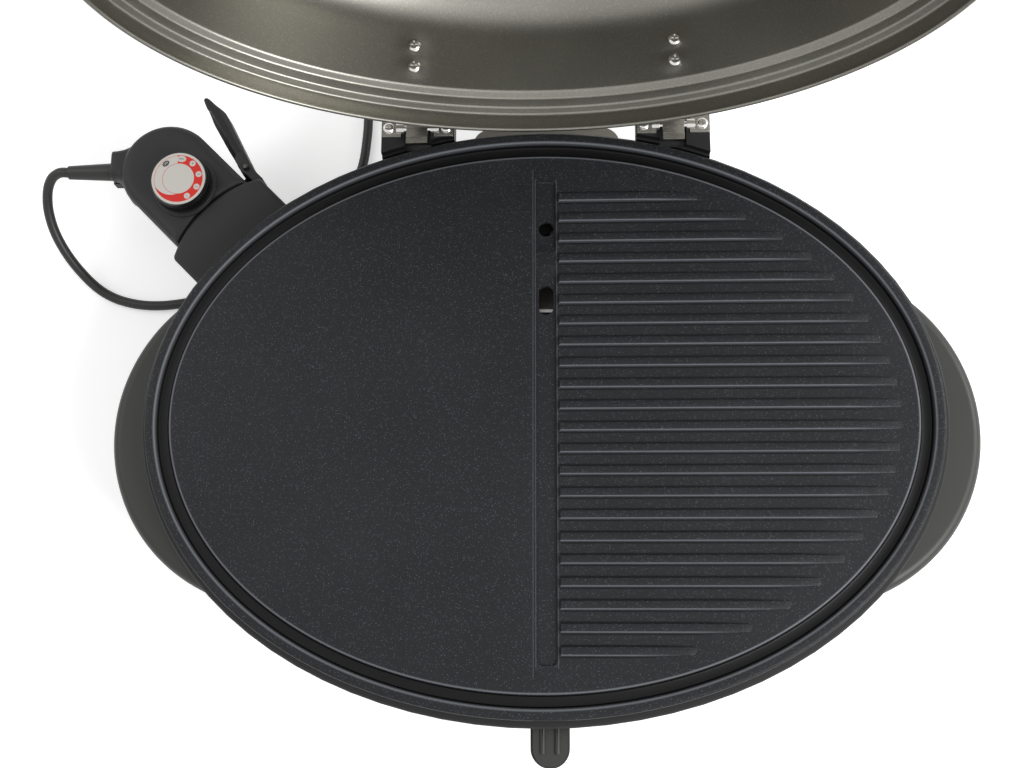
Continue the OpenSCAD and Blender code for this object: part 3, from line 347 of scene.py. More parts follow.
# Scattered light flecks, as in a stone-effect coating or a metallic paint
def fleckGroup():
    tree, given, out = makeGroup(
        "flecks",
        "ShaderNodeTree",
        [
            ("Vector", vectorSocket, None),
            ("Size", floatSocket, 900.0),
            ("Share", floatSocket, 0.2),
            ("Reach", floatSocket, 0.4),
        ],
        [("Mask", floatSocket)],
    )
    cells = addNode(tree, "ShaderNodeTexVoronoi", {"Vector": given["Vector"], "Scale": given["Size"]})
    pick = addNode(tree, "ShaderNodeSeparateColor", {0: cells.outputs["Color"]}).outputs
    chosen = calc(tree, "LESS_THAN", pick[0], given["Share"])
    near = calc(tree, "SUBTRACT", given["Reach"], cells.outputs["Distance"])
    level = calc(tree, "MULTIPLY", calc(tree, "MULTIPLY", near, 4.0, clamp=True), pick[1])
    feed(tree, out, {"Mask": calc(tree, "MULTIPLY", chosen, level)})
    return tree


# Fine lines that run one way, as on brushed or drawn metal
def brushGroup():
    tree, given, out = makeGroup(
        "brushed",
        "ShaderNodeTree",
        [
            ("Vector", vectorSocket, None),
            ("Colour", colourSocket, None),
            ("Rough", floatSocket, 0.3),
            ("Shade", floatSocket, 0.12),
        ],
        variedOutputs,
    )
    stretched = addNode(tree, "ShaderNodeMapping", {"Vector": given["Vector"], "Scale": (60, 2600, 2600)})
    lines = addNode(tree, "ShaderNodeTexNoise", {"Vector": stretched.outputs[0], "Scale": 1.0, "Detail": 2.0})
    around = calc(tree, "SUBTRACT", lines.outputs["Fac"], 0.5)
    vary(tree, given, out, around, 0.3, lines.outputs["Fac"])
    return tree


# Painted light on the plate's coating, placed from where a point sits on the casting: painted highlight lines
# on the rim and field edges, the rib fronts, the drain sides and the recess step, and painted shade in the
# groove and behind and under each rib
def paintedLightGroup():
    line = {
        "rim": 1.1,
        "field": 1.0,
        "groove": 4.6,
        "ribFront": 0.7,
        "ribUnder": 0.8,
        "ribBehind": 0.9,
        "drain": 0.6,
        "stepX": -4.3,
        "stepInset": 26.0,
        "stepLevel": 0.3,
        "drainLevel": 0.4,
    }
    reach = {"grooveMiddle": 11, "tipA": 222, "tipB": 160, "fade": 30.0, "ribs": 151.0, "drain": 155.0}
    tree, given, out = makeGroup(
        "castLines",
        "ShaderNodeTree",
        [
            ("Vector", vectorSocket, None),
            ("Rim edge", floatSocket, 6.5),
            ("Field edge", floatSocket, 15.9),
            ("Rib pitch", floatSocket, 13.7),
            ("Rib width", floatSocket, 5.7),
            ("Rib back", floatSocket, 145.3),
            ("Rib start", floatSocket, 12.0),
            ("Drain", floatSocket, 4.0),
            ("Drain half", floatSocket, 6.5),
        ],
        [("Bright", floatSocket), ("Dark", floatSocket)],
    )
    plus, minus, times, over = sums(tree, "ADD", "SUBTRACT", "MULTIPLY", "DIVIDE")
    size, root, larger = sums(tree, "ABSOLUTE", "SQRT", "MAXIMUM")
    below, above = sums(tree, "LESS_THAN", "GREATER_THAN")
    moved = addNode(tree, "ShaderNodeVectorMath", {0: given["Vector"], 1: middle}, operation="SUBTRACT")
    scaled = addNode(tree, "ShaderNodeVectorMath", {0: moved.outputs[0], "Scale": 1 / mm}, operation="SCALE")
    place = addNode(tree, "ShaderNodeSeparateXYZ", {0: scaled.outputs[0]}).outputs
    x, y = place["X"], place["Y"]

    def band(value, centre, width):
        return minus(1.0, over(size(minus(value, centre)), width), clamp=True)

    def ratio(a, b, power):
        return plus(over(times(x, x), a ** power), over(times(y, y), b ** power))

    halfway = reach["grooveMiddle"]
    a, b = oval["a"] - halfway, oval["b"] - halfway
    off = over(minus(1.0, ratio(a, b, 2)), ratio(a, b, 3))
    inset = plus(times(off, 0.5), halfway)
    # Painted highlight along the rim and field edges, painted shade down the middle of the groove
    rim = larger(band(inset, given["Rim edge"], line["rim"]), band(inset, given["Field edge"], line["field"]))
    groove = times(band(inset, halfway, line["groove"]), 3.0, clamp=True)

    inside = larger(minus(1.0, over(times(y, y), reach["tipB"] ** 2)), 0.0)
    left = over(minus(times(root(inside), reach["tipA"]), x), reach["fade"], clamp=True)
    where = times(times(left, above(x, given["Rib start"])), below(size(y), reach["ribs"]))
    # Painted highlight on each rib's front, painted shadow under it and behind it
    turn = calc(tree, "WRAP", minus(given["Rib back"], y), given["Rib pitch"])
    front = times(band(turn, minus(given["Rib width"], 0.35), line["ribFront"]), where)
    under = times(band(turn, plus(given["Rib width"], 0.9), line["ribUnder"]), where)
    behind = times(band(turn, minus(given["Rib pitch"], 0.55), line["ribBehind"]), where)

    # Weaker painted highlight along the drain sides and the recess step
    across = size(minus(x, given["Drain"]))
    sides = times(band(across, plus(given["Drain half"], 0.3), line["drain"]), below(size(y), reach["drain"]))
    step = times(band(x, line["stepX"], line["drain"]), above(inset, line["stepInset"]))
    weak = larger(times(step, line["stepLevel"]), times(sides, line["drainLevel"]))
    bright, dark = larger(larger(rim, front), weak), larger(larger(groove, behind), under)
    feed(tree, out, {"Bright": bright, "Dark": dark})
    return tree


groups = {"grain": grainGroup(), "flecks": fleckGroup(), "brushed": brushGroup(), "cast": paintedLightGroup()}

# One entry for each material slot of the record
finishes = {
    "plastic_black": dict(colour=(0.013, 0.013, 0.013), rough=0.5, shine=0.3, size=2200, bump=0.05),
    "plastic_olive": dict(colour=(0.021, 0.0215, 0.0185), rough=0.46, shine=0.4, size=2200, bump=0.05),
    "rubber": dict(colour=(0.014, 0.014, 0.014), rough=0.75, size=900, bump=0.08),
    "steel": dict(colour=(0.62, 0.61, 0.58), rough=0.26, metal=1, brush=True, bump=0.02),
    "screw_steel": dict(colour=(0.74, 0.73, 0.7), rough=0.2, metal=1, brush=True, bump=0.01),
    "reflector_metal": dict(colour=(0.66, 0.66, 0.66), rough=0.3, metal=1, brush=True, bump=0.02),
    "element_metal": dict(colour=(0.09, 0.085, 0.08), rough=0.48, metal=1, size=700, bump=0.06),
    "ceramic": dict(colour=(0.74, 0.71, 0.64), rough=0.4, size=500, bump=0.03, shade=0.05),
    "nonstick": dict(
        colour=(0.0105, 0.011, 0.0125),
        rough=0.42,
        shine=0.2,
        size=1300,
        bump=0.16,
        shade=0.25,
        fleck=(0.075, 0.08, 0.092),
        fleckSize=1000,
        share=0.55,
        # Colours of the painted highlight lines (lit) and the painted shade (unlit) on the plate
        lit=(0.115, 0.12, 0.132),
        unlit=(0.0008, 0.0008, 0.0009),
    ),
    "tray_metal": dict(colour=(0.5, 0.49, 0.47), rough=0.34, metal=1, brush=True, bump=0.02),
    "lid_metal": dict(
        colour=(0.235, 0.228, 0.202),
        rough=0.36,
        metal=1,
        size=1700,
        bump=0.05,
        shade=0.12,
        fleck=(0.5, 0.48, 0.43),
        fleckSize=1500,
        share=0.4,
    ),
    "handle_plastic": dict(colour=(0.012, 0.012, 0.0125), rough=0.42, shine=0.4, size=1800, bump=0.05),
    "brass": dict(colour=(0.7, 0.5, 0.2), rough=0.3, metal=1, brush=True, bump=0.02),
    "knob_black": dict(colour=(0.006, 0.006, 0.006), rough=0.25, shine=0.4, size=1500, bump=0.03),
    "dial_pale": dict(colour=(0.46, 0.44, 0.405), rough=0.24, shine=0.3, size=700, bump=0.01, shade=0.03),
    "cord_black": dict(colour=(0.015, 0.015, 0.014), rough=0.42, shine=0.4, size=1200, bump=0.05),
    "mark_red": dict(colour=(0.5, 0.022, 0.016), rough=0.3, shine=0.2, size=900, bump=0.01, shade=0.05),
    "mark_black": dict(colour=(0.012, 0.012, 0.012), rough=0.3, size=900, bump=0.01),
}


def mixOver(tree, colour, mask, tone):
    values = {0: mask, 6: colour, 7: (*tone, 1.0)}
    return addNode(tree, "ShaderNodeMix", values, data_type="RGBA").outputs[2]


def makeFinish(slot, look):
    material = bpy.data.materials.new(slot)
    material.use_nodes = True
    tree = material.node_tree
    where = addNode(tree, "ShaderNodeTexCoord").outputs["Object"]
    values = {"Vector": where, "Colour": (*look["colour"], 1.0), "Rough": look["rough"]}
    values |= {key.capitalize(): look[key] for key in ("size", "shade") if key in look}
    kind = "brushed" if "brush" in look else "grain"
    grain = addNode(tree, "ShaderNodeGroup", values, node_tree=groups[kind]).outputs
    colour = grain["Colour"]
    if "fleck" in look:
        values = {"Vector": where, "Size": look["fleckSize"], "Share": look["share"]}
        flecks = addNode(tree, "ShaderNodeGroup", values, node_tree=groups["flecks"])
        colour = mixOver(tree, colour, flecks.outputs["Mask"], look["fleck"])
    # Painted shade, then painted highlight lines, laid over the coating's own colour
    if "lit" in look:
        lines = addNode(tree, "ShaderNodeGroup", {"Vector": where}, node_tree=groups["cast"]).outputs
        colour = mixOver(tree, colour, lines["Dark"], look["unlit"])
        colour = mixOver(tree, colour, lines["Bright"], look["lit"])
    values = {"Strength": look["bump"], "Distance": 0.001, "Height": grain["Height"]}
    bump = addNode(tree, "ShaderNodeBump", values)
    feed(
        tree,
        tree.nodes["Principled BSDF"],
        {
            "Base Color": colour,
            "Roughness": grain["Roughness"],
            "Normal": bump.outputs["Normal"],
            "Metallic": look.get("metal", 0),
            "Specular IOR Level": look.get("shine", 0.5),
        },
    )
    return material


materials = {slot: makeFinish(slot, look) for slot, look in finishes.items()}
nodeSlot = {row["node"]: row["material_slot"] for row in frame["record"]["subparts"]}
for nodeName, nodeObject in frame["nodes"].items():
    nodeObject.data.materials.clear()
    nodeObject.data.materials.append(materials[nodeSlot[nodeName]])
print("materials ready")


# A finished piece gets its material, and rides with the body of the node that it stands for
def settle(piece, *nodes, finish=None):
    slot = nodeSlot[nodes[0]]
    if not any(piece.data.materials):
        piece.data.materials.clear()
        piece.data.materials.append(materials[finish or slot])
    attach(piece, frame["nodes"][nodes[0]]["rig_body"])
    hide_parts(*nodes)
    return piece


# A piece whose CAD form is right gets merged faces, rounded edges and smooth shading
def dress(node, width, finish=None):
    shape = bmesh.new()
    shape.from_mesh(frame["nodes"][node].data)
    bmesh.ops.remove_doubles(shape, verts=shape.verts, dist=0.004 * mm)
    bmesh.ops.dissolve_limit(shape, angle_limit=math.radians(0.6), verts=shape.verts, edges=shape.edges)
    first, *others = node.split("_")
    name = first + "".join(word.capitalize() for word in others)
    data = bpy.data.meshes.new(name)
    shape.to_mesh(data)
    shape.free()
    piece = addObject(name, data)
    if width:
        roundEdges(piece, width)
    shadeByAngle(piece, 40)
    weighNormals(piece)
    return settle(piece, node, finish=finish)


# A tree that grows a piece, with its shape coming in and out
def growTree(name, *inputs):
    given = [("Geometry", shapeSocket, None), *inputs, ("Finish", finishSocket, None)]
    return makeGroup(name, "GeometryNodeTree", given, [("Geometry", shapeSocket)])


# The last step of such a tree
def endTree(tree, out, shape, finish):
    final = addNode(tree, "GeometryNodeSetMaterial", {"Geometry": shape, "Material": finish})
    feed(tree, out, {0: final.outputs[0]})
    return tree


# A piece grown by a node tree from its points and the values given
def growPiece(name, tree, values, points=()):
    piece = meshPiece(name, points, [])
    grow = piece.modifiers.new("grow", "NODES")
    grow.node_group = tree
    names = {s.name: s.identifier for s in tree.interface.items_tree if s.in_out == "INPUT"}
    for label, value in values.items():
        grow[names[label]] = value
    return bake(piece)


# Screw heads, one instance for each point of the mesh that carries the modifier
def scatterTree():
    tree, given, out = growTree("scatterHeads", ("Head", "NodeSocketObject", None))
    head = addNode(tree, "GeometryNodeObjectInfo", {"Object": given["Head"]})
    spin = addNode(tree, "FunctionNodeRandomValue", {"Seed": 7, 3: math.tau}, data_type="FLOAT")
    around = addNode(tree, "ShaderNodeCombineXYZ", {"Z": spin.outputs[1]})
    turned = addNode(tree, "FunctionNodeEulerToRotation", {0: around.outputs[0]})
    values = {
        "Points": given["Geometry"],
        "Instance": head.outputs["Geometry"],
        "Rotation": turned.outputs[0],
    }
    spread = addNode(tree, "GeometryNodeInstanceOnPoints", values)
    real = addNode(tree, "GeometryNodeRealizeInstances", {"Geometry": spread.outputs[0]})
    return endTree(tree, out, real.outputs[0], given["Finish"])


# Domed head with a cross recess, its seat at height zero
def screwHead(name, diameter, height):
    r = diameter / 2
    dome = [(1, -0.2 / height), (1, 0.3), (0.93, 0.62), (0.72, 0.88), (0.4, 1)]
    head = lathe(name, [(r * p, height * h) for p, h in dome], toRow.inverted(), 32)
    for turn in (0, 90):
        spin = toRow.inverted() @ Matrix.Rotation(math.radians(turn), 4, "Z")
        arm = block("arm", (-0.46 * r, -0.12 * r, 0.42 * height), (0.46 * r, 0.12 * r, 2 * height), spin)
        cut(head, arm)
    for vertex in head.data.vertices:
        vertex.co *= mm
    shadeByAngle(head, 38)
    return head


def placeScrews(name, node, diameter, height, points):
    head = screwHead("head", diameter, height)
    values = {"Head": head, "Finish": materials[nodeSlot[node]]}
    seats = growPiece(name, scatterTree(), values, points)
    bpy.data.objects.remove(head)
    settle(seats, node)


# Mains lead: the route of the free lead and the turns of its coil, as in the part's source
def makeLead():
    lead = {
        "diameter": 7.0,
        "length": 1.8,
        "coil": 86.0,
        "turns": 5,
        "gap": 0.5,
        "rise": 7.45,
        "dip": 1.3,
        "plug": 18.5,
        "ramp": 65,
    }
    route = [
        (-329, 181, 61), (-336, 181, 61), (-343, 178, 57), (-348, 171, 50), (-350, 160, 41),
        (-348, 147, 31), (-342, 134, 21), (-333, 122, 12), (-322, 112, 5.5), (-308, 105, 3.5),
        (-290, 101, 3.5), (-270, 101, 3.5), (-248, 105, 3.5), (-226, 113, 3.5), (-203, 125, 3.5),
        (-180, 141, 3.5), (-158, 160, 3.5), (-142, 182, 3.5), (-133, 206, 3.5), (-130, 230, 3.5),
        (-129, 247, 3.5), (-124, 260, 3.5), (-114, 267, 3.5),
    ]
    d = lead["diameter"]
    step = d + lead["gap"]
    outer = lead["coil"] / 2 + 0.625 * step
    centre = (-95, 267 + outer)
    half = lead["turns"] / 2

    def coilPoint(n):
        radius = outer - step * n
        if n >= half:
            radius = outer - step * half - lead["dip"] * math.sin(math.tau * (n - half))
        if n >= half + 0.5:
            radius = outer - step * (2 * half + 0.5 - n)
        climb = min(1, max(0, 2 * (n - half)))
        z = d / 2 + lead["rise"] * (1 - math.cos(math.pi * climb)) / 2
        turn = math.tau * n
        return (centre[0] + radius * math.sin(turn), centre[1] - radius * math.cos(turn), z)

    end = coilPoint(2 * half)
    ramp = [(k / 5, (1 - math.cos(math.pi * k / 5)) / 2) for k in range(1, 6)]
    rising = [(end[0] + lead["ramp"] * s, end[1], end[2] + (lead["plug"] - end[2]) * t) for s, t in ramp]
    last = (end[0] + lead["ramp"] + d, end[1], lead["plug"])
    coil = [coilPoint(k / 40) for k in range(40 * lead["turns"] + 1)]
    knots = [Vector(p) for p in (*route, (centre[0] - d, 267, d / 2), coil[0])]
    free = []
    spans = zip([knots[0], *knots], knots, knots[1:], [*knots[2:], Vector(coil[1])])
    for before, start, stop, after in spans:
        for k in range(4):
            s = k / 4
            bend = (stop - before) * s + (2 * before - 5 * start + 4 * stop - after) * s * s
            spot = start + (bend + (3 * start - before - 3 * stop + after) * s ** 3) / 2
            free.append(Vector((spot.x, spot.y, max(spot.z, d / 2))))
    points = [*free, *coil, *rising, last]
    curve = bpy.data.curves.new("mainsLead", "CURVE")
    curve.dimensions = "3D"
    curve.bevel_depth = d / 2 * mm
    curve.bevel_resolution = 5
    curve.resolution_u = 3
    spline = curve.splines.new("POLY")
    spline.points.add(len(points) - 1)
    for spot, point in zip(spline.points, points):
        spot.co = (*(toRow @ Vector(point)), 1)
    spline.use_smooth = True
    cord = addObject("mainsLead", curve)
    settle(cord, "power_cord", "cord_coil")
    return cord, lead, toRow @ Vector(route[0])


makeCamera()
mainsLead, leadFacts, leadExit = makeLead()
print("camera and lead ready")


# Ribs side by side, each from the drain to the oval border, where its tip sinks into the plate
def ribTree():
    tree, given, out = growTree(
        "grillRibs",
        ("Count", "NodeSocketInt", 22),
        ("Pitch", floatSocket, 0.0137),
        ("Back", floatSocket, 0.14),
        ("Start", floatSocket, 0.013),
        ("Half length", floatSocket, 0.22),
        ("Half depth", floatSocket, 0.16),
        ("Width", floatSocket, 0.0057),
        ("Height", floatSocket, 0.0024),
        ("Taper", floatSocket, 0.036),
        ("Low", floatSocket, 0.1),
        ("Middle", vectorSocket, None),
    )
    plus, minus, times, over = sums(tree, "ADD", "SUBTRACT", "MULTIPLY", "DIVIDE")
    first = addNode(tree, "ShaderNodeCombineXYZ", {"Y": given["Back"]})
    step = addNode(tree, "ShaderNodeCombineXYZ", {"Y": times(given["Pitch"], -1.0)})
    values = {"Count": given["Count"], "Start Location": first.outputs[0], "Offset": step.outputs[0]}
    rows = addNode(tree, "GeometryNodeMeshLine", values)
    line = addNode(tree, "GeometryNodeCurvePrimitiveLine", {"Start": (0, 0, 0), "End": (1, 0, 0)})
    fine = addNode(tree, "GeometryNodeResampleCurve", {"Curve": line.outputs[0], "Count": 40})
    values = {"Points": rows.outputs[0], "Instance": fine.outputs[0]}
    copies = addNode(tree, "GeometryNodeInstanceOnPoints", values)
    real = addNode(tree, "GeometryNodeRealizeInstances", {"Geometry": copies.outputs[0]})
    place = addNode(tree, "GeometryNodeInputPosition").outputs[0]
    spot = addNode(tree, "ShaderNodeSeparateXYZ", {0: place}).outputs
    share = over(spot["Y"], given["Half depth"])
    tip = times(calc(tree, "SQRT", minus(1.0, times(share, share))), given["Half length"])
    along = plus(times(minus(tip, given["Start"]), spot["X"]), given["Start"])
    left = over(minus(tip, along), given["Taper"], clamp=True)
    sunk = times(minus(1.0, calc(tree, "POWER", left, 0.6)), given["Height"])
    values = {"X": along, "Y": spot["Y"], "Z": minus(given["Low"], sunk)}
    where = addNode(tree, "ShaderNodeCombineXYZ", values)
    values = {"Geometry": real.outputs[0], "Position": where.outputs[0]}
    moved = addNode(tree, "GeometryNodeSetPosition", values)
    values = {"Width": given["Width"], "Height": times(given["Height"], 2.0)}
    section = addNode(tree, "GeometryNodeCurvePrimitiveQuadrilateral", values)
    values = {"Curve": section.outputs[0], "Count": 3, "Radius": 0.0008}
    soft = addNode(tree, "GeometryNodeFilletCurve", values, mode="POLY")
    values = {"Curve": moved.outputs[0], "Profile Curve": soft.outputs[0], "Fill Caps": True}
    rib = addNode(tree, "GeometryNodeCurveToMesh", values)
    values = {"Geometry": rib.outputs[0], "Translation": given["Middle"]}
    there = addNode(tree, "GeometryNodeTransform", values)
    smooth = addNode(tree, "GeometryNodeSetShadeSmooth", {"Geometry": there.outputs[0]})
    return endTree(tree, out, smooth.outputs[0], given["Finish"])


# Hot plate
def makePlate():
    plate = {
        "rimWidth": 7.0,
        "grooveWidth": 8.0,
        "grooveDepth": 5.0,
        "fieldDepth": 2.5,
        "recessDepth": 0.9,
        "border": 11.0,
        "under": 96.5,
        "drainX": 4.0,
        "drainWidth": 13.0,
        "drainLength": 154.0,
        "drainFloor": 99.9,
        "holeY": 122.0,
        "holeWidth": 9.4,
        "slotY": 74.0,
        "slotLength": 19.0,
        "ribs": 22,
        "pitch": 13.7,
        "ribWidth": 5.7,
        "ribHeight": 2.4,
        "ribBack": 145.3,
        "taper": 36.0,
    }
    rim = oval["rim"]
    grooveIn = plate["rimWidth"]
    grooveOut = grooveIn + plate["grooveWidth"]
    groove = rim - plate["grooveDepth"]
    field = rim - plate["fieldDepth"]
    recess = field - plate["recessDepth"]
    profile = [
        (8.5, plate["under"]), (7.5, plate["under"] - 1), (7.5, 94.3), (2.2, 94.3), (1.2, 99.6),
        (0.2, rim - 2.6), (0.0, rim - 1.6), (0.25, rim - 0.8), (0.9, rim - 0.2), (1.8, rim),
        (grooveIn - 1.6, rim), (grooveIn - 0.7, rim - 0.2), (grooveIn - 0.1, rim - 0.8),
        (grooveIn + 0.5, groove + 1.6), (grooveIn + 1.2, groove + 0.4), (grooveIn + 2.4, groove),
        (grooveOut - 2.2, groove), (grooveOut - 1.1, groove + 0.3), (grooveOut - 0.5, groove + 1.1),
        (grooveOut, field - 0.5), (grooveOut + 0.5, field - 0.1), (grooveOut + 1.4, field),
    ]
    body = loft("hotPlate", [ovalRing(oval["a"] - p, oval["b"] - p, z) for p, z in profile])

    edge = grooveOut + plate["border"]
    a, b = oval["a"] - edge, oval["b"] - edge
    left = plate["drainX"] - plate["drainWidth"] / 2 - 1.2
    reach = math.acos(left / a)
    arc = [reach * (k / 60 - 1) for k in range(121)]
    outline = [(a * math.cos(t), b * math.sin(t)) for t in arc]
    wide = [(max(left - 1.6, x * (1 + 3.5 / a)), y * (1 + 3.5 / b)) for x, y in outline]
    rings = [[(x, y, recess) for x, y in outline], [(x, y, field + 0.05) for x, y in wide]]
    rings.append([(x, y, field + 6) for x, y in wide])
    cut(body, loft("recess", rings))

    x0 = plate["drainX"] - plate["drainWidth"] / 2
    x1 = x0 + plate["drainWidth"]
    slotBack = plate["slotY"] + plate["slotLength"] / 2
    floor = plate["drainFloor"]
    along = [
        (-plate["drainLength"], floor), (slotBack + 1, floor), (slotBack + 15, recess + 0.2),
        (slotBack + 15, rim + 5), (-plate["drainLength"], rim + 5),
    ]
    across = Matrix(((0, 0, 1, 0), (1, 0, 0, 0), (0, 1, 0, 0), (0, 0, 0, 1)))
    cut(body, roundCorners(slab("channel", along, x0, x1, across), 3.6))
    rear = [
        (plate["holeY"] - 18, recess + 0.2), (plate["holeY"] - 10, floor), (plate["drainLength"] - 1, floor),
        (plate["drainLength"], floor + 0.8), (plate["drainLength"], rim + 5), (plate["holeY"] - 18, rim + 5),
    ]
    cut(body, roundCorners(slab("rearChannel", rear, x0, x1, across), 3.6))
    hole = [(r * plate["holeWidth"] / 2, z) for r, z in ((1, 80), (1, floor - 0.6), (1.16, floor + 0.4))]
    cut(body, lathe("hole", hole, Matrix.Translation((plate["drainX"], plate["holeY"], 0)), 40))
    r = plate["holeWidth"] / 2
    span = plate["slotLength"] / 2 - r
    halves = [math.pi * k / 12 for k in range(24)]
    ends = [(r * math.cos(t), r * math.sin(t) + (span if k < 12 else -span)) for k, t in enumerate(halves)]
    slot = [(x + plate["drainX"], y + plate["slotY"]) for x, y in ends]
    cut(body, slab("slot", slot, 80, floor + 3))
    roundEdges(body, 0.5, 34)
    shadeByAngle(body, 42)
    weighNormals(body)
    settle(body, "grill_plate")

    values = {
        "Count": plate["ribs"],
        "Pitch": plate["pitch"] * mm,
        "Back": (plate["ribBack"] - plate["ribWidth"] / 2) * mm,
        "Start": (x1 + 2) * mm,
        "Half length": (a - 1) * mm,
        "Half depth": b * mm,
        "Width": plate["ribWidth"] * mm,
        "Height": plate["ribHeight"] * mm,
        "Taper": plate["taper"] * mm,
        "Low": recess * mm,
        "Middle": middle,
        "Finish": materials["nonstick"],
    }
    ribs = growPiece("plateRibs", ribTree(), values)
    shadeByAngle(ribs, 50)
    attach(ribs, "plate")

makePlate()
print("hot plate ready")


# Lid, made closed and then swung open about its hinge pins
def makeLid():
    lid = {
        "over": 4.8,
        "height": 92.0,
        "sheet": 1.0,
        "bead": 1.5,
        "hem": 95.8,
        "open": 96.5,
        "low": (11.5, 15.0),
        "high": (16.3, 45.0),
        "points": 320,
        "dimple": 11.0,
        "dimpleDepth": 1.3,
        "screws": (25.0, 39.0),
    }
    a, b, rim = oval["a"] + lid["over"], oval["b"] + lid["over"], oval["rim"]
    low, high = lid["low"], lid["high"]
    shoulder = lid["height"] - high[1] - 3
    edge = [
        (1.1, 0), (1.1, 1.5), (1.5, 2.1), (2.2, 2.6), (5.2, 3.4), (6.0, 3.9), (6.4, 4.8), (6.6, 9.5),
        (6.9, 10.4), (7.6, 11), (10, 12.4), (10.6, 13.0), (11, 13.8),
    ]
    rise = [k / 14 for k in range(15)]
    wall = [(low[0] + (high[0] - low[0]) * s, low[1] + (high[1] - low[1]) * s) for s in rise]
    turns = [math.pi / 2 * k / 12 for k in range(1, 13)]
    bow = [(1.2 * (1 - math.cos(t)), math.sin(t)) for t in turns]
    arc = [(high[0] + 0.3 + shoulder * p, high[1] + 1 + shoulder * h) for p, h in bow]
    crown = [(p, lid["height"] - h) for p, h in ((92, 1.35), (118, 0.8), (142, 0.3), (165, 0))]
    outer = [*edge, *wall, *arc, *crown]
    inner = []
    for k, (p, h) in enumerate(outer):
        upper = k >= len(edge)
        inner.append((p + 0.6 * lid["sheet"], h - lid["sheet"]) if upper else (p + lid["sheet"], h - 0.3))
    turns = [math.radians(45 - 270 * k / 13) for k in range(14)]
    bead = [(lid["bead"] * (1 + math.cos(t)), lid["hem"] + lid["bead"] * math.sin(t)) for t in turns]
    rows = [(p, rim + h) for p, h in reversed(inner)] + bead + [(p, rim + h) for p, h in outer]
    rings = [ovalRing(a - p, b - p, z, lid["points"]) for p, z in rows]

    def dimpled(point):
        x, y, z = point
        if y < 0:
            return point
        push = 0.0
        for middleX in hinge["x"]:
            for h in lid["screws"]:
                near = math.hypot(x - middleX, z - rim - h) / lid["dimple"]
                if near < 1:
                    push = max(push, (1 - near * near) ** 2)
        return (x, y - push * lid["dimpleDepth"], z)

    rings = [[dimpled(p) for p in ring] for ring in rings]
    pin = (0, hinge["y"], hinge["z"])
    swing = Matrix.Translation(pin) @ Matrix.Rotation(math.radians(-lid["open"]), 4, "X")
    swing @= Matrix.Translation([-c for c in pin])
    shell = loft("lidShell", rings, swing)
    shadeByAngle(shell, 50)
    settle(shell, "lid_shell")


makeLid()
print("lid ready")


# Thermostat: its own frame starts under the knob, with X outward along the plug
knobLow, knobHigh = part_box("knob")
knobSpot = ((knobLow + knobHigh) / 2 - middle) / mm
plugTurn = Matrix.Translation((knobSpot.x, knobSpot.y, 0)) @ Matrix.Rotation(math.radians(135), 4, "Z")
toPlug = (toRow @ plugTurn).inverted()
pinLow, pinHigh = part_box("lever_pin")
leverPivot = toPlug @ ((pinLow + pinHigh) / 2)
plug = {
    "width": 64.0,
    "axis": 61.0,
    "thick": 38.0,
    "seam": -22.6,
    "seamRadius": 77.2,
    "end": 19.4,
    "round": 6.0,
}


def seamX(y, radius):
    return plug["seam"] - plug["seamRadius"] + math.sqrt(radius ** 2 - y ** 2)


def makeHousing():
    r = plug["width"] / 2
    radius = plug["seamRadius"] + 0.5
    steps = [k / 24 for k in range(25)]
    arc = [(seamX(r - 2 * r * s, radius), r - 2 * r * s) for s in steps]
    turns = [math.pi * k / 40 for k in range(41)]
    cap = [(plug["end"] + r * math.sin(t), -r * math.cos(t)) for t in turns]
    top = plug["axis"] + plug["thick"] / 2
    body = slab("housingTop", [*cap, *arc], plug["axis"] + 0.15, top, plugTurn)

    def onTop(edge):
        return min(v.co.z for v in edge.verts) > (top - 0.1) * mm and edge.calc_face_angle(0) > 0.5

    roundSome(body, plug["round"], 7, onTop)
    side = Matrix.Translation((plug["end"], 0, 0)) @ Matrix.Rotation(math.radians(45), 4, "Z")
    flare = [
        (16, -27), (20.5, -25.6), (25.5, -22.4), (29, -20.2), (33, -18.4), (38, -17.4), (42.4, -17.2),
        (42.4, 3.4), (38, 3.8), (35.2, 5.6), (32.8, 9.0), (29.8, 14.6), (25.8, 20.4), (16, 26),
    ]
    middleY, endX = -7, 40
    rings = []
    for h, inset in ((0.15, 0.0), (6.5, 0.0), (9.0, 0.6), (11.0, 2.0), (12.4, 4.2)):
        ring = []
        for x, y in flare:
            shift = min(inset, abs(y - middleY)) * (1 if y < middleY else -1)
            ring.append((x - (inset / 2 if x > endX else 0), y + shift, plug["axis"] + h))
        rings.append(ring)
    housing = join("housingTop", body, loft("neck", rings, plugTurn @ side))
    blend(housing, 0.9, 9)
    low = (plug["axis"] + 0.1) * mm
    for vertex in housing.data.vertices:
        vertex.co.z = max(vertex.co.z, low)
    settle(housing, "housing_top")
    dress("housing_bottom", 0.6)
    return top


housingTop = makeHousing()

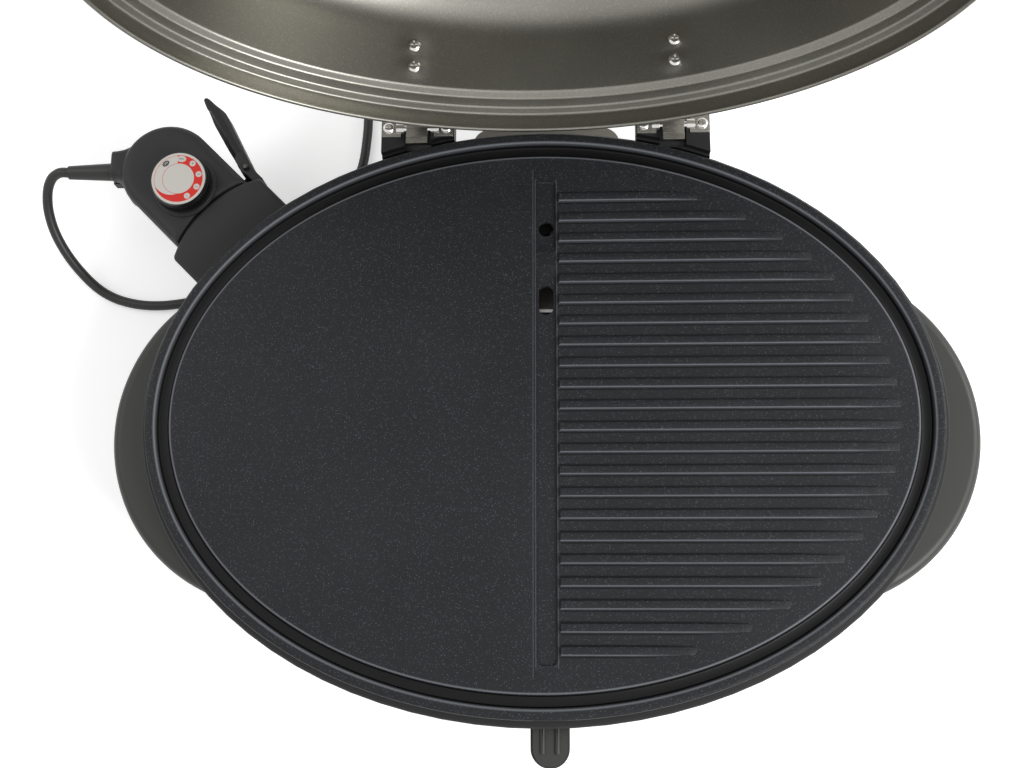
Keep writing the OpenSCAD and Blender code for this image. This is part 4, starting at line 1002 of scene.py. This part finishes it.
def makeCollar():
    collar = {"width": 79.0, "back": -79.6, "low": 38.0, "high": 83.6, "corner": 4.0, "edge": 2.6}
    room = {"low": (-50, -28.6, 46.5), "high": (20, 28.6, 75.5)}
    half, corner = collar["width"] / 2, collar["corner"]
    radius = plug["seamRadius"]
    cornerX = plug["seam"] - radius + math.sqrt((radius - corner) ** 2 - (half - corner) ** 2)
    lean = math.atan2(half - corner, cornerX - plug["seam"] + radius)
    bend = [lean + (math.pi / 2 - lean) * k / 6 for k in range(7)]
    upper = [(cornerX + corner * math.cos(t), half - corner + corner * math.sin(t)) for t in bend]
    face = [(seamX(y, radius), y) for y in [(half - corner - 2) * (2 * k / 24 - 1) for k in range(25)]]
    lower = [(x, -y) for x, y in reversed(upper)]
    outline = [(collar["back"], -half), *lower, *face, *upper, (collar["back"], half)]
    body = slab("plugCollar", outline, collar["low"], collar["high"], plugTurn)

    def flatFront(edge):
        spots = [toPlug @ v.co for v in edge.verts]
        xs = [s.x - collar["back"] for s in spots]
        return abs(spots[0].z - spots[1].z) < 0.1 and max(xs) > 1 and min(xs) > -1

    roundSome(body, collar["edge"], 5, flatFront, clamp=True)
    cut(body, block("room", room["low"], room["high"], plugTurn))
    shadeByAngle(body, 40)
    weighNormals(body)
    settle(body, "plug_collar")


makeCollar()


# Ridges side by side round a circle
def knurlTree():
    tree, given, out = growTree(
        "knurls",
        ("Count", "NodeSocketInt", 60),
        ("Radius", floatSocket, 0.019),
        ("Ridge", floatSocket, 0.0008),
        ("Height", floatSocket, 0.008),
        ("Place", vectorSocket, None),
    )
    values = {"Vertices": given["Count"], "Radius": given["Radius"]}
    circle = addNode(tree, "GeometryNodeMeshCircle", values)
    values = {"Vertices": 8, "Radius": given["Ridge"], "Depth": given["Height"]}
    ridge = addNode(tree, "GeometryNodeMeshCylinder", values)
    values = {"Points": circle.outputs[0], "Instance": ridge.outputs[0]}
    copies = addNode(tree, "GeometryNodeInstanceOnPoints", values)
    real = addNode(tree, "GeometryNodeRealizeInstances", {"Geometry": copies.outputs[0]})
    values = {"Geometry": real.outputs[0], "Translation": given["Place"]}
    there = addNode(tree, "GeometryNodeTransform", values)
    return endTree(tree, out, there.outputs[0], given["Finish"])


# Knob with its knurled skirt, and the dial on top
def makeKnob():
    knob = {
        "radius": 19.2,
        "low": 83.2,
        "high": 94.6,
        "disc": 18.2,
        "ridges": 60,
        "ridge": 0.8,
        "bandIn": 10.6,
        "bandOut": 16.2,
        "marks": 13.9,
    }
    low, high, r, disc = knob["low"], knob["high"], knob["radius"], knob["disc"]
    rows = [
        (4, low), (r - 0.6, low), (r, low + 0.6), (r, high - 3), (r - 0.2, high - 2.4), (r - 0.3, high - 0.5),
        (r - 0.5, high - 0.1), (disc + 0.15, high - 0.1), (disc + 0.1, high - 1.4), (6, high - 1.4),
    ]
    body = lathe("knobBody", rows, plugTurn)
    shadeByAngle(body, 35)
    settle(body, "knob")

    tall = high - low - 4
    values = {
        "Count": knob["ridges"],
        "Radius": r * mm,
        "Ridge": knob["ridge"] * mm,
        "Height": tall * mm,
        "Place": toRow @ plugTurn @ Vector((0, 0, low + 1 + tall / 2)),
        "Finish": materials["knob_black"],
    }
    knurls = growPiece("knobKnurls", knurlTree(), values)
    shadeByAngle(knurls, 50)
    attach(knurls, "dial_knob")

    face = high - 0.2
    rows = [(disc, high - 1.35), (disc, face - 0.1), (disc - 0.1, face)]
    settle(lathe("dialDisc", rows, plugTurn), "dial_disc")

    def settleMark(mark, finish):
        mark.data.materials.clear()
        mark.data.materials.append(materials[finish])
        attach(mark, "dial_knob")

    def spot(turn, lift):
        lifted = Matrix.Translation((knobSpot.x, knobSpot.y, face + lift))
        return lifted @ Matrix.Rotation(math.radians(turn), 4, "Z")

    # Band that widens from a thin line at the left to its full width at the right
    band = {"start": -160, "sweep": 255, "widens": 26, "steps": 96, "thick": 0.06}
    inner, outer = [], []
    for k in range(band["steps"] + 1):
        turn = math.radians(band["start"] + band["sweep"] * k / band["steps"])
        full = min(1.0, k / band["widens"])
        size = knob["bandOut"] - (knob["bandOut"] - knob["bandIn"]) * full
        inner.append((size * math.cos(turn), size * math.sin(turn)))
        outer.append((knob["bandOut"] * math.cos(turn), knob["bandOut"] * math.sin(turn)))
    edges = ((outer, 0), (outer, band["thick"]), (inner, band["thick"]), (inner, 0))
    rings = [[(x, y, z) for x, y in ring] for ring, z in edges]
    settleMark(sweep("dialBand", rings, spot(0, 0), closed=False), "mark_red")

    # Thin ring lines of the band, all the way round
    line = ((0.0, 0.0), (0.0, 0.05), (0.22, 0.05), (0.22, 0.0))
    for name, size in (("dialLineIn", knob["bandIn"]), ("dialLineOut", knob["bandOut"])):
        rings = [ovalRing(size + w, size + w, z, 96) for w, z in line]
        settleMark(sweep(name, rings, spot(0, 0)), "mark_red")

    # Text, turn, half width and half height of its plate, and letter size
    marks = [
        ("OFF", 130, 2.6, 1.75, 1.9), ("MIN", 84, 2.9, 1.9, 1.8), ("4", 49, 1.75, 1.75, 2.4),
        ("3", 12, 1.75, 1.75, 2.4), ("2", -25, 1.75, 1.75, 2.4), ("1", -62, 1.75, 1.75, 2.4),
    ]
    for body, turn, wide, tall, size in marks:
        pair = ("mark_black", "dial_pale") if body == "OFF" else ("dial_pale", "mark_black")
        at = Matrix.Rotation(math.radians(turn), 4, "Z") @ Matrix.Translation((knob["marks"], 0, 0))
        upright = at @ Matrix.Rotation(math.radians(-90), 4, "Z")
        for lift, grow, finish in ((0.07, 0.3, "dial_pale"), (0.09, 0.0, pair[0])):
            rows = [ovalRing(wide + grow, tall + grow, z, 40) for z in (0, 0.02)]
            plate = loft(f"dialPlate{body}{int(grow * 10)}", rows, spot(0, lift) @ upright)
            settleMark(plate, finish)
        letters = bpy.data.curves.new(f"dialMark{body}", "FONT")
        letters.body = body
        letters.size = size
        letters.align_x = "CENTER"
        letters.align_y = "CENTER"
        letters.extrude = 0.01
        text = addObject(f"dialMark{body}", letters)
        data = evaluated(text)
        data.transform(toRow @ spot(0, 0.13) @ upright)
        bpy.data.objects.remove(text)
        settleMark(addObject(f"dialMark{body}", data), pair[1])

    ring = [(12, 0.05), (22, 0.05), (22, 0.9), (21.6, 1.5), (20.9, 1.7), (20.8, 2.5), (20.5, 2.8), (12, 2.8)]
    seat = lathe("seatRing", [(p, housingTop + h) for p, h in ring], plugTurn)
    shadeByAngle(seat, 30)
    settle(seat, "seat_ring")


makeKnob()
print("thermostat ready")


# Side handles: flat top that rolls over to the outer edge
def makeHandle(name, node, side):
    grip = {"reach": 277.2, "length": 196, "shift": -8, "thick": 16, "top": 85.7, "roll": 6.5, "gap": 0.3}
    wall = {"thick": 4.5, "baseA": oval["a"] + 5, "baseB": oval["b"] + 5, "lip": 6}
    half = grip["length"] / 2
    deep = grip["reach"] - wall["baseA"] * math.sqrt(1 - (half / wall["baseB"]) ** 2)
    r = (half * half + deep * deep) / (2 * deep)
    a, b = [wall[key] - wall["lip"] + grip["gap"] for key in ("baseA", "baseB")]

    def gripOutline(outset, inset):
        size = r - outset
        turns = [math.radians(k - 90) for k in range(181)]
        arc = [(grip["reach"] - r + size * math.cos(t), grip["shift"] + size * math.sin(t)) for t in turns]
        wide, deepest = a + inset, b + inset
        outer = [(x, y) for x, y in arc if (x / wide) ** 2 + (y / deepest) ** 2 > 1]
        first, last = [math.atan2(y / deepest, x / wide) for x, y in (outer[0], outer[-1])]
        turns = [last + (first - last) * k / 60 for k in range(1, 60)]
        inner = [(wide * math.cos(t), deepest * math.sin(t)) for t in turns]
        outline = [(side * x, y) for x, y in outer + inner]
        return outline if side > 0 else outline[::-1]

    low, high = grip["top"] - grip["thick"], grip["top"]
    handle = slab(name, gripOutline(0, 0), low, high)

    def outerTop(edge):
        spots = [toRow.inverted() @ v.co for v in edge.verts]
        outside = all((s.x / (a + 1)) ** 2 + (s.y / (b + 1)) ** 2 > 1 for s in spots)
        return outside and min(s.z for s in spots) > high - 0.1

    roundSome(handle, grip["roll"], 7, outerTop)
    if side < 0:
        collarRoom = block("collarRoom", (-120, -39.8, 30), (60, 39.8, 120), plugTurn)
        cut(handle, collarRoom, solver="MANIFOLD")
    cut(handle, slab("hollow", gripOutline(wall["thick"], wall["thick"]), low - 1, high - wall["thick"]))
    roundEdges(handle, 0.5, 50)
    shadeByAngle(handle, 40)
    weighNormals(handle)
    settle(handle, node)


makeHandle("leftHandle", "left_handle", -1)
makeHandle("rightHandle", "right_handle", 1)

# Pieces that keep their CAD form, with the width of the rounded edge
dressed = {
    "base_shell": 0.5,
    "front_tab": 0.7,
    "rubber_feet": 0.6,
    "heat_reflector": 0,
    "heating_element": 0,
    "element_supports": 0.2,
    "terminal_block": 0.5,
    "terminal_pins": 0,
    "hinge_post_left": 0.6,
    "hinge_post_right": 0.6,
    "hinge_plate_left": 0.25,
    "hinge_plate_right": 0.25,
    "hinge_pins": 0.3,
    "tray_rails": 0.4,
    "drip_tray": 0.35,
    "lid_strap_left": 0.35,
    "lid_strap_right": 0.35,
    "strap_nuts": 0.3,
    "lid_handle": 0.8,
    "handle_spacers": 0.3,
    "strain_relief": 0.6,
    "mains_plug": 0.7,
    "plug_pins": 0.3,
}
made = {node: dress(node, width) for node, width in dressed.items()}


# Ejector lever: a leaf with a raised outer edge and softly rounded sides
def makeLever():
    lever = addObject("ejectLever", frame["nodes"]["eject_lever"].data.copy())
    blend(lever, 0.8, 14)
    leaf = {"low": 66, "start": 12, "lean": 0.29, "edge": 2.2, "rise": 0.5, "reach": 4.4}
    for vertex in lever.data.vertices:
        spot = toPlug @ vertex.co
        along = spot.x - leverPivot.x
        if spot.z > leaf["low"] and along > leaf["start"]:
            across = abs(spot.y - leverPivot.y + leaf["lean"] * along + leaf["edge"])
            vertex.co.z -= (leaf["edge"] - leaf["rise"] * min(leaf["reach"], across)) * mm
    settle(lever, "eject_lever")


makeLever()

# Screws, and the dark pin of the lever
dress("lever_pin", 0.3, finish="element_metal")
seatTop = hinge["z"] + 1.64
seats = [(x + s * 19, hinge["y"], seatTop) for x in hinge["x"] for s in (-1, 1)]
placeScrews("hingeScrews", "hinge_screws", 7.4, 2.0, seats)
print("dressed pieces ready")


# One for the rays that show a surface: straight to the camera, mirrored or through something clear
def seenRays(tree):
    rays = addNode(tree, "ShaderNodeLightPath").outputs
    seen = calc(tree, "ADD", rays["Is Camera Ray"], rays["Is Glossy Ray"], clamp=True)
    return calc(tree, "ADD", seen, rays["Is Transmission Ray"], clamp=True)


# Floor, world and lamps
def makeStudio():
    studio = {"floor": 6.0, "tone": 0.82, "rough": 0.8, "glow": 0.45, "world": 0.6, "white": 1.0}
    white = (1, 1, 1, 1)
    size = studio["floor"] / mm
    ring = [(-size, -size, 0), (size, -size, 0), (size, size, 0), (-size, size, 0)]
    floor = meshPiece("floor", ring, [(0, 1, 2, 3)])
    material = bpy.data.materials.new("floor")
    material.use_nodes = True
    tree = material.node_tree
    feed(
        tree,
        tree.nodes["Principled BSDF"],
        {
            "Base Color": (*(studio["tone"],) * 3, 1),
            "Roughness": studio["rough"],
            "Emission Color": white,
            "Emission Strength": calc(tree, "MULTIPLY", seenRays(tree), studio["glow"]),
        },
    )
    floor.data.materials.append(material)

    world = bpy.data.worlds.new("studio")
    world.use_nodes = True
    tree = world.node_tree
    gain = calc(tree, "MULTIPLY", seenRays(tree), studio["white"] - studio["world"])
    level = calc(tree, "ADD", gain, studio["world"])
    feed(tree, tree.nodes["Background"], {"Color": white, "Strength": level})
    bpy.context.scene.world = world

    lamps = [
        ("key", (1.3, -0.9, 1.5), 0.8, 34),
        ("side", (1.5, 0.4, 1.1), 0.6, 14),
        ("fill", (-1.3, 0.5, 1.5), 1.0, 6),
    ]
    for name, place, width, power in lamps:
        light = bpy.data.lights.new(name, "AREA")
        light.shape = "SQUARE"
        light.size = width
        light.energy = power
        lamp = addObject(name, light)
        lamp.location = place
        lamp.rotation_mode = "QUATERNION"
        lamp.rotation_quaternion = (-Vector(place)).to_track_quat("-Z", "Y")


makeStudio()
bpy.context.scene.view_settings.view_transform = "Standard"
print("studio ready")
